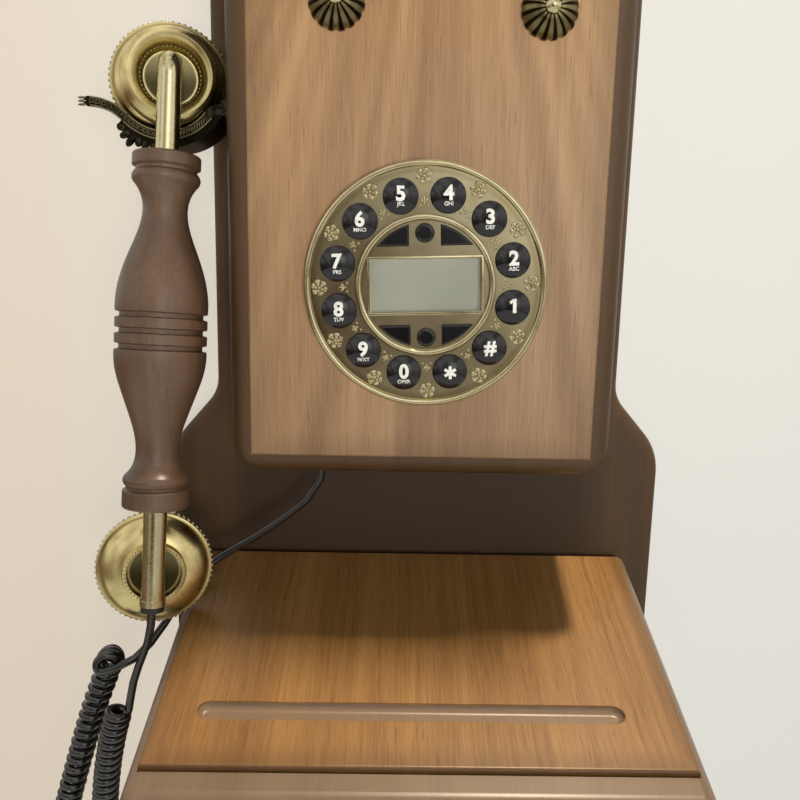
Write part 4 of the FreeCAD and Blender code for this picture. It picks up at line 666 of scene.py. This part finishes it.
def read_line(obj):
    """Points along a curve without a bevel."""
    bpy.context.view_layer.update()
    mesh = bpy.data.meshes.new_from_object(obj)
    points = [v.co.copy() for v in mesh.vertices]
    bpy.data.meshes.remove(mesh)
    return points


def curl_points(line, radius):
    """Points of the curls round a route, closer at the handset than at the case."""
    gaps = [(b - a).length for a, b in zip(line, line[1:])]
    whole = sum(gaps)
    side = Vector((0, 1, 0))
    phase, gone, made = 0.0, 0.0, []
    beside = (line[1] - line[0]).cross(side).normalized()
    start_turn = math.atan2((line[1] - line[0]).normalized().cross(side).dot(beside), side.dot(beside))
    for i, (here, after) in enumerate(zip(line, line[1:])):
        ahead = (after - here).normalized()
        before = (here - line[max(i - 1, 0)]).normalized() if i else ahead
        bend = ahead.angle(before) / max(gaps[i], 1e-6)
        pitch = (4.15 + 0.7 * gone / whole) * MM
        pitch = max(pitch, 4.15 * MM / (1 - min(0.5, radius * bend)))
        steps = max(1, round(gaps[i] / pitch * 14))
        for n in range(steps):
            spot = here.lerp(after, n / steps)
            side = (side - ahead * side.dot(ahead)).normalized()
            across = ahead.cross(side)
            turn = start_turn + phase + 2 * math.pi * gaps[i] / pitch * n / steps
            made.append(spot + (side * math.cos(turn) + across * math.sin(turn)) * radius)
        phase += 2 * math.pi * gaps[i] / pitch
        gone += gaps[i]
    return made


def cord_line(radius):
    """Control points of the whole cord: lead, curls and tail."""
    place = handset_matrix()
    down = place.to_3x3() @ Vector((0, 0, -1))
    lead = [place @ Vector((0, 0, -ROD_END + 3 * MM))]
    lead.append(lead[0] + down * 15.5 * MM)
    lead += [Vector(p) * MM for p in LEAD_ROUTE]
    route = spline_object([Vector(p) * MM for p in COIL_ROUTE], "curl_route")
    curls = curl_points(read_line(route), radius)
    bpy.data.objects.remove(route)
    return lead + curls + [Vector(p) * MM for p in TAIL_ROUTE]


class TELEPHONE_OT_cord(bpy.types.Operator):
    """Curly cord from the handset to the case"""

    bl_idname = "telephone.cord"
    bl_label = "Cord"

    def execute(self, context):
        sizes = context.scene.telephone_sizes
        obj = spline_object(cord_line(sizes.curl_radius), "cord")
        obj.data.resolution_u = 2
        line = read_line(obj)
        obj.data.bevel_depth = sizes.cord_thick / 2
        obj.data.bevel_resolution = 2
        obj.data.use_fill_caps = True
        take(obj)
        bpy.ops.object.convert(target="MESH")
        obj = bpy.context.active_object
        dress(obj, FINISHES["cord"])
        take(obj)
        bpy.ops.object.shade_smooth()
        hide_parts("cord_lead", "cord_coil", "cord_tail")
        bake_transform(obj)
        return {"FINISHED"}


# ---------------------------------------------------------------- stage

class TELEPHONE_OT_stage(bpy.types.Operator):
    """Camera, lamps, pale wall and floor"""

    bl_idname = "telephone.stage"
    bl_label = "Stage"

    def execute(self, context):
        make_camera()
        make_lamps()
        make_world()
        make_wall(context.scene.telephone_colours.wall, context.scene.telephone_colours.wall_painted_lamplight)
        context.scene.view_settings.view_transform = "Standard"
        return {"FINISHED"}


def make_camera():
    """Camera at eye height in front of the telephone, looking down a little."""
    data = bpy.data.cameras.new("camera")
    camera = bpy.data.objects.new("camera", data)
    bpy.context.scene.collection.objects.link(camera)
    data.sensor_width = CAMERA_LENS
    data.lens = CAMERA_LENS
    data.clip_start = 0.01
    x, y, z = CAMERA_TURN
    turn = Matrix.Rotation(z, 4, "Z") @ Matrix.Rotation(x, 4, "X") @ Matrix.Rotation(y, 4, "Y")
    level = Matrix.Rotation(math.radians(90), 4, "X")
    camera.matrix_world = Matrix.Translation(CAMERA_SPOT) @ turn @ level
    bpy.context.scene.camera = camera


def lamp(name, spot, aim, size, power, tint, spread):
    """A round soft lamp that faces its aim."""
    data = bpy.data.lights.new(name, "AREA")
    data.shape = "ELLIPSE"
    data.size, data.size_y = size
    data.energy = power
    data.color = tint
    data.spread = math.radians(spread)
    obj = bpy.data.objects.new(name, data)
    bpy.context.scene.collection.objects.link(obj)
    way = Vector(aim) - Vector(spot)
    obj.matrix_world = Matrix.Translation(spot) @ way.to_track_quat("-Z", "Y").to_matrix().to_4x4()
    obj.visible_glossy = name in MIRRORED_LAMPS


def make_lamps():
    """A warm key overhead, a soft front that favours the panel, a weak fill and one for the back."""
    for name, facts in LAMPS.items():
        lamp(name, *facts)


def make_world():
    """Room light: even and soft on the surfaces, and a whole room in what shines."""
    world = bpy.data.worlds.new("room")
    bpy.context.scene.world = world
    world.use_nodes = True
    room = Nodes(world.node_tree)
    x, y, z = room.split("Generated")
    way = room.vector(x, y, z)
    sky = room.mix(room.step(z + x * 0.15, -0.38, 0.12), ROOM_BELOW, ROOM_ABOVE)
    shelves = room.step(room.noise(way, 2.3, 1.0), 0.40, 0.60)
    mirrored = room.mix(shelves * 0.65 + 0.35, ROOM_BELOW, sky)
    mirrored = room.mix(room.step(room.gap(way, PERSON_WAY), 0.12, 0.50), PERSON, mirrored)
    mirrored = room.mix(room.step(room.gap(way, WINDOW_WAY), 0.36, 0.14), mirrored, WINDOW)
    shining = room.node("ShaderNodeLightPath", out="Is Glossy Ray")
    seen = room.node("ShaderNodeLightPath", out="Is Camera Ray")
    soft = room.mix(1.0, sky, (0.15, 0.15, 0.15), "MULTIPLY")
    tint = room.mix(seen, room.mix(shining, soft, mirrored), (0.90, 0.88, 0.84))
    ground = room.node("ShaderNodeBackground", {}, {0: tint, 1: 1.0})
    room.node("ShaderNodeOutputWorld", {}, {0: ground})


def wall_finish(name, tint, warm, one_sided):
    """Pale distemper; the wall is clear from behind and to light, so that the back stays lit."""
    finish = Finish(name, Roughness=0.85, Emission_Strength=WALL_GLOW)
    x, y, z = finish.split()
    cloud = finish.noise(finish.vector(x, y, z), 3.0, 2.0)
    fine = finish.noise(finish.vector(x, y, z), 500.0, 2.0)
    # Painted lamplight: the wall's left side is painted warmer
    side = finish.step(x + z * 0.12 + cloud * 0.1, 0.12, -0.24)
    ink = finish.mix(side, tint, warm)
    low = finish.mix(1.0, ink, WALL_INK, "MULTIPLY")
    finish.feed(Base_Color=low, Emission_Color=ink, Normal=finish.bump(fine, 0.0001, 0.3))
    if one_sided:
        path = finish.node("ShaderNodeLightPath", out="Is Camera Ray")
        back = finish.node("ShaderNodeNewGeometry", out="Backfacing")
        hidden = finish.node("ShaderNodeBsdfTransparent")
        shown = Wire(finish, finish.shader.outputs[0])
        seen = finish.node("ShaderNodeMixShader", {}, {0: path * (1 - back), 1: hidden, 2: shown})
        end = [n for n in finish.tree.nodes if n.type == "OUTPUT_MATERIAL"][0]
        finish.tree.links.new(seen.socket, end.inputs[0])
    return finish.material


def make_wall(tint, warm):
    """Wall behind the telephone and floor far below it."""
    wall = start("plane", "wall", size=4.0)
    put(wall, Matrix.Translation((0, 0.0004, -0.2)) @ Matrix.Rotation(math.radians(90), 4, "X"))
    dress(wall, wall_finish("pale_wall", tint, warm, True))
    floor = start("plane", "floor", size=4.0)
    put(floor, Matrix.Translation((0, -1.9, -1.1)))
    dress(floor, wall_finish("pale_floor", tint, tint, False))


# ---------------------------------------------------------------- ornament

def bead_ring(name, bead, ring, depth, count, height):
    """A ring of beads on a cup of the handset."""
    obj = start("uv_sphere", name, segments=8, ring_count=5, radius=bead, location=(ring, depth, 0))
    bpy.ops.object.transform_apply(location=True, rotation=True, scale=True)
    spread(obj, count)
    return put(obj, handset_matrix(height))


class TELEPHONE_OT_cup_beads(bpy.types.Operator):
    """Beaded rims and knurled rings of the two cups"""

    bl_idname = "telephone.cup_beads"
    bl_label = "Cup beads"

    def execute(self, context):
        sizes = context.scene.telephone_sizes
        rings = (("ear_rim_beads", sizes.rim_bead, 25.2, 21.0, 64, 109.5),
                 ("ear_ring_beads", sizes.ring_bead, 12.7, 12.8, 44, 109.5),
                 ("mouth_rim_beads", sizes.rim_bead, 25.2, 21.0, 64, -105.5),
                 ("mouth_ring_beads", sizes.ring_bead, 12.5, 8.2, 44, -105.5))
        for name, bead, ring, depth, count, height in rings:
            obj = bead_ring(name, bead, ring * MM, depth * MM, count, height * MM)
            settle(obj, "handset", FINISHES["relief"])
        return {"FINISHED"}


def petal(name, size, spot, turn=0.0):
    """A small rounded petal on the face of the dial, domed to the front."""
    obj = start("uv_sphere", name, segments=10, ring_count=6, radius=1.0)
    shape(obj, lambda centre, normal: centre.y < -0.5)
    bpy.ops.transform.translate(value=(0, 0, -0.12))
    done(obj)
    matrix = (Matrix.Rotation(turn, 4, "Y") @ Matrix.Translation(spot)
              @ Matrix.Diagonal((size[0], size[1], size[2], 1.0)))
    return put(obj, matrix)


def rose():
    """A rose of five small and six large petals round a bead."""
    heart = petal("heart", (0.9 * MM, 0.75 * MM, 0.9 * MM), (0, 0, 0))
    inner = petal("inner", (0.85 * MM, 0.6 * MM, 0.65 * MM), (0, 0, 1.45 * MM))
    spread(inner, 5)
    outer = petal("outer", (1.25 * MM, 0.5 * MM, 0.85 * MM), (0, 0, 2.65 * MM), 0.3)
    spread(outer, 6)
    return join([heart, inner, outer], "dial_roses")


def scroll():
    """A small fan of leaves between two keys, pointing at the dial's centre."""
    parts = []
    for turn, long in ((-0.75, 1.7), (0.0, 2.2), (0.75, 1.7)):
        leaf = petal("leaf", (0.5 * MM, 0.35 * MM, long * MM / 2), (0, 0, 1.5 * MM), turn)
        parts.append(leaf)
    parts.append(petal("knot", (0.6 * MM, 0.45 * MM, 0.6 * MM), (0, 0, 0)))
    for side in (-1, 1):
        parts.append(petal("curl", (0.75 * MM, 0.35 * MM, 0.45 * MM), (side * 1.7 * MM, 0, -0.9 * MM)))
    return join(parts, "dial_scrolls")


def ring_bead(name, ring, thick, flat):
    """A rounded ring on the dial, pressed flatter than it is wide."""
    obj = start("torus", name, major_segments=128, minor_segments=12, major_radius=ring,
                minor_radius=thick)
    shape(obj)
    bpy.ops.transform.resize(value=(1.0, 1.0, flat), center_override=(0, 0, 0))
    done(obj)
    return put(obj, Matrix.Rotation(math.radians(90), 4, "X"))


def bezel_bead(name, half, rise, thick):
    """A rounded frame round the display window."""
    obj = start("plane", name, size=1.0)
    put(obj, Matrix.Rotation(math.radians(90), 4, "X")
        @ Matrix.Diagonal((2 * (half + thick), 2 * (rise + thick), 1.0, 1.0)))
    shape(obj)
    bpy.ops.mesh.inset(thickness=2 * thick, depth=0.0)
    bpy.ops.mesh.delete(type="FACE")
    done(obj)
    modify(obj, "SOLIDIFY", thickness=1.3 * thick, offset=0.0)
    return modify(obj, "BEVEL", width=0.45 * thick, segments=3)


class TELEPHONE_OT_dial_rings(bpy.types.Operator):
    """Rounded rim, inner ring and window frame of the dial"""

    bl_idname = "telephone.dial_rings"
    bl_label = "Dial rings"

    def execute(self, context):
        rim = put(ring_bead("rim", 48.75 * MM, 1.2 * MM, 0.9), Matrix.Translation((0, -0.9 * MM, 0)))
        inner = put(ring_bead("inner", 27.65 * MM, 1.15 * MM, 0.8), Matrix.Translation((0, -1.2 * MM, 0)))
        bezel = put(bezel_bead("bezel", 23.3 * MM, 11.45 * MM, 0.55 * MM),
                    Matrix.Translation((0, -0.75 * MM, 0)))
        obj = put(join([rim, inner, bezel], "dial_rings"), dial_matrix())
        settle(obj, "housing", FINISHES["brass_bright"])
        return {"FINISHED"}


class TELEPHONE_OT_dial_relief(bpy.types.Operator):
    """Roses and leaf scrolls between the number keys"""

    bl_idname = "telephone.dial_relief"
    bl_label = "Dial relief"

    def execute(self, context):
        sizes = context.scene.telephone_sizes
        for made, ring in ((rose(), sizes.rose_ring), (scroll(), sizes.scroll_ring)):
            put(made, Matrix.Translation((0, 0, ring)))
            spread(made, 12)
            put(made, dial_matrix(0.0))
            settle(made, "housing", FINISHES["relief"])
        return {"FINISHED"}


def lettering(words, size, drop, bold, name):
    """Flat letters as a mesh, upright on the plane that faces the front, centred on their shape."""
    clear()
    bpy.ops.object.text_add()
    obj = bpy.context.active_object
    obj.data.body = words
    obj.data.size = size
    obj.data.offset = bold
    obj.data.resolution_u = 4
    bpy.ops.object.convert(target="MESH")
    obj = bpy.context.active_object
    obj.name = name
    corners = [Vector(corner) for corner in obj.bound_box]
    middle = sum(corners, Vector()) / 8
    return put(obj, Matrix.Translation((0, 0, drop)) @ Matrix.Rotation(math.radians(90), 4, "X")
               @ Matrix.Translation(-middle))


def bars(name, spots):
    """Flat bars that face the front, each from its place, size and turn."""
    made = []
    for x, z, wide, tall, turn in spots:
        bar = start("plane", name, size=1.0)
        made.append(put(bar, Matrix.Translation((x * MM, 0, z * MM)) @ Matrix.Rotation(turn, 4, "Y")
                        @ Matrix.Rotation(math.radians(90), 4, "X")
                        @ Matrix.Diagonal((wide * MM, tall * MM, 1.0, 1.0))))
    return join(made, name)


def figure(name, size, bold):
    """One key's figure: the star and the one are drawn as bars, the others come from the type."""
    if name == "star":
        return bars("star", [(0, 0, 1.25, 5.4, math.radians(turn)) for turn in (0, 60, 120)])
    if name == "1":
        return bars("one", [(0.35, 0.8, 1.45, 5.7, 0.0), (-0.75, 2.6, 2.0, 1.15, math.radians(-38))])
    words = "#" if name == "hash" else name
    return lettering(words, size, 0.0 if name == "hash" else 0.9 * MM, bold, "figure")


def key_spot(index):
    turn = math.radians(15 + 30 * index) + DIAL_TURN
    return Vector((math.sin(turn), 0, math.cos(turn))) * 37.2 * MM + Vector((0, 0, DIAL_CENTRE.z))


class TELEPHONE_OT_key_figures(bpy.types.Operator):
    """White figures and letters on the number keys"""

    bl_idname = "telephone.key_figures"
    bl_label = "Key figures"

    def execute(self, context):
        sizes = context.scene.telephone_sizes
        for index, name in enumerate(KEYS):
            parts = [figure(name, sizes.figure_height, 0.30 * MM)]
            if name in LETTERS:
                parts.append(lettering(LETTERS[name], sizes.letter_height, -3.4 * MM, 0.04 * MM, "letters"))
            obj = join(parts, "figure_" + name)
            put(obj, Matrix.Translation(key_spot(index) + Vector((0, -0.0825, 0)))
                @ Matrix.Rotation(DIAL_TURN, 4, "Y"))
            shape(obj)
            bpy.ops.mesh.quads_convert_to_tris()
            bpy.ops.mesh.subdivide(number_cuts=2)
            done(obj)
            modify(obj, "SHRINKWRAP", target=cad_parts["key_" + name], wrap_method="PROJECT",
                   use_project_y=True, use_negative_direction=False, use_positive_direction=True,
                   offset=0.06 * MM)
            settle(obj, "key_%s_body" % name, FINISHES["ink"])
        return {"FINISHED"}


def band_matrix(turn=0.0, lift=0.0):
    """Place on the band's face: a turn from straight below its centre, to the viewer's right."""
    return (Matrix.Translation(BAND_CENTRE - Vector((0, lift, 0))) @ Matrix.Rotation(-turn, 4, "Y"))


def bend_matrix(turn=0.0):
    """Place on the band's face where its left end sweeps out, turned about that sweep's centre."""
    return Matrix.Translation(BAND_SWEEP) @ Matrix.Rotation(turn, 4, "Y")


def edge_rail(ring, thick, first, last, place):
    """A rounded bead along part of a ring, from one turn to another, closed at its ends."""
    obj = start("torus", "rail", major_segments=180, minor_segments=6, major_radius=ring, minor_radius=thick)
    put(obj, Matrix.Rotation(math.radians(90), 4, "X"))
    span = math.radians(last - first)

    def beyond(centre, normal):
        turn = math.atan2(centre.x, -centre.z) - math.radians(first)
        return turn % (2 * math.pi) > span
    shape(obj, beyond)
    bpy.ops.mesh.delete(type="FACE")
    bpy.ops.mesh.select_mode(type="VERT")
    bpy.ops.mesh.select_all(action="SELECT")
    bpy.ops.mesh.fill_holes(sides=0)
    done(obj)
    return put(obj, place)


def band_rails():
    """Rubbed edges above and below the band, from the sweep to the case, their lighter bronze partly a
    painted highlight.
    """
    made = []
    for side, ring in ((-1, 22.5), (1, 25.9)):
        made.append(edge_rail(ring * MM, 0.36 * MM, -44, 50, band_matrix()))
        made.append(edge_rail((21.8 - side * 1.7) * MM, 0.36 * MM, 136, 178, Matrix.Translation(BAND_SWEEP)))
    return made


def key_hook(rise):
    """One hook of the key pattern, a given way above or below the centre that it turns about."""
    made = []
    for dx, dz, wide, tall in ((0.0, 0.95, 1.9, 0.36), (0.8, 0.25, 0.36, 1.5), (-0.8, 0.0, 0.36, 2.0),
                               (0.15, -0.45, 1.1, 0.36)):
        bar = start("cube", "bar", size=1.0)
        made.append(put(bar, Matrix.Translation((dx * MM, 0, (dz + rise) * MM))
                        @ Matrix.Diagonal((wide * MM, 0.5 * MM, tall * MM, 1))))
    return join(made, "key_hook")


def band_rows():
    """Key pattern to the left, slanting leaves to the right and a fringe at the tip."""
    hooks = spread(key_hook(-24.2), 9, turn=math.radians(-44), whole=False)
    made = [put(hooks, band_matrix(math.radians(-43)))]
    swept = spread(key_hook(21.8), 6, turn=math.radians(34), whole=False)
    made.append(put(swept, bend_matrix(math.radians(4))))
    leaf = petal("leaf", (0.50 * MM, 0.55 * MM, 1.6 * MM), (0, 0, 0), 0.5)
    put(leaf, Matrix.Translation((0, 0, -24.2 * MM)))
    spread(leaf, 17, turn=math.radians(-48), whole=False)
    made.append(put(leaf, band_matrix(math.radians(1))))
    for rise in (-1.45, 0.0, 1.45):
        prong = petal("prong", (1.9 * MM, 0.7 * MM, 0.55 * MM), (0, 0.3 * MM, (21.8 + rise) * MM))
        made.append(put(prong, Matrix.Translation(BAND_SWEEP + Vector((-2.6 * MM, 0, 0)))))
    return made


def leaf_spray():
    """Ragged leaves under the band's left side."""
    made = []
    for turn, reach, long, tilt in ((-42, 28.3, 4.2, 0.9), (-36, 29.6, 5.4, 0.5), (-30, 30.6, 6.0, 0.1),
                                    (-24, 29.4, 4.6, -0.3), (-18, 29.9, 5.2, -0.2), (-11, 29.6, 4.6, -0.6)):
        leaf = petal("leaf", (1.7 * MM, 0.9 * MM, long * MM / 2), (0, 0, 0), tilt)
        put(leaf, Matrix.Translation((0, 0, -reach * MM)))
        made.append(put(leaf, band_matrix(math.radians(turn), -0.9 * MM)))
    return made


class TELEPHONE_OT_cradle_ornament(bpy.types.Operator):
    """Key pattern, leaves and rubbed edges with a painted highlight on the cradle's band"""

    bl_idname = "telephone.cradle_ornament"
    bl_label = "Cradle ornament"

    def execute(self, context):
        settle(join(band_rows(), "cradle_ornament"), "hook", FINISHES["bronze"])
        settle(join(band_rails(), "cradle_edges"), "hook", FINISHES["edge"])
        settle(join(leaf_spray(), "cradle_leaves"), "hook", FINISHES["leaf"])
        return {"FINISHED"}


# ---------------------------------------------------------------- finishes of the CAD nodes

class TELEPHONE_OT_finish_parts(bpy.types.Operator):
    """Finish for every part that the frame carries"""

    bl_idname = "telephone.finish_parts"
    bl_label = "Finish parts"

    def execute(self, context):
        for name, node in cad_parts.items():
            slot = node.material_slots[0].material.name.split(".")[0]
            finish = FINISHES.get(SPECIAL.get(name, slot))
            if finish is None:
                raise RuntimeError("no finish for %s of %s" % (slot, name))
            dress(node, finish)
        return {"FINISHED"}


class TELEPHONE_PT_dressing(bpy.types.Panel):
    """Buttons for each group of pieces"""

    bl_label = "Telephone"
    bl_idname = "TELEPHONE_PT_dressing"
    bl_space_type = "VIEW_3D"
    bl_region_type = "UI"
    bl_category = "Telephone"

    def draw(self, context):
        for operator in OPERATORS:
            self.layout.operator(operator.bl_idname)
        for group in (context.scene.telephone_sizes, context.scene.telephone_colours):
            for key in group.__annotations__:
                self.layout.prop(group, key)


OPERATORS = (TELEPHONE_OT_stage, TELEPHONE_OT_cord, TELEPHONE_OT_finish_parts,
             TELEPHONE_OT_cup_beads, TELEPHONE_OT_dial_rings, TELEPHONE_OT_dial_relief,
             TELEPHONE_OT_key_figures, TELEPHONE_OT_cradle_ornament)
CLASSES = (TelephoneSizes, TelephoneColours) + OPERATORS + (TELEPHONE_PT_dressing,)
FINISHES = {}


def register():
    """Makes the groups of values, the operators and the panel known to Blender."""
    for entry in CLASSES:
        bpy.utils.register_class(entry)
    bpy.types.Scene.telephone_sizes = bpy.props.PointerProperty(type=TelephoneSizes)
    bpy.types.Scene.telephone_colours = bpy.props.PointerProperty(type=TelephoneColours)


def unregister():
    """Takes back all that register() made known."""
    del bpy.types.Scene.telephone_colours
    del bpy.types.Scene.telephone_sizes
    for entry in reversed(CLASSES):
        bpy.utils.unregister_class(entry)


def main():
    """Runs every operator in turn."""
    register()
    FINISHES.update(make_finishes())
    for operator in OPERATORS:
        group, name = operator.bl_idname.split(".")
        getattr(getattr(bpy.ops, group), name)()


if __name__ == "__main__":
    main()
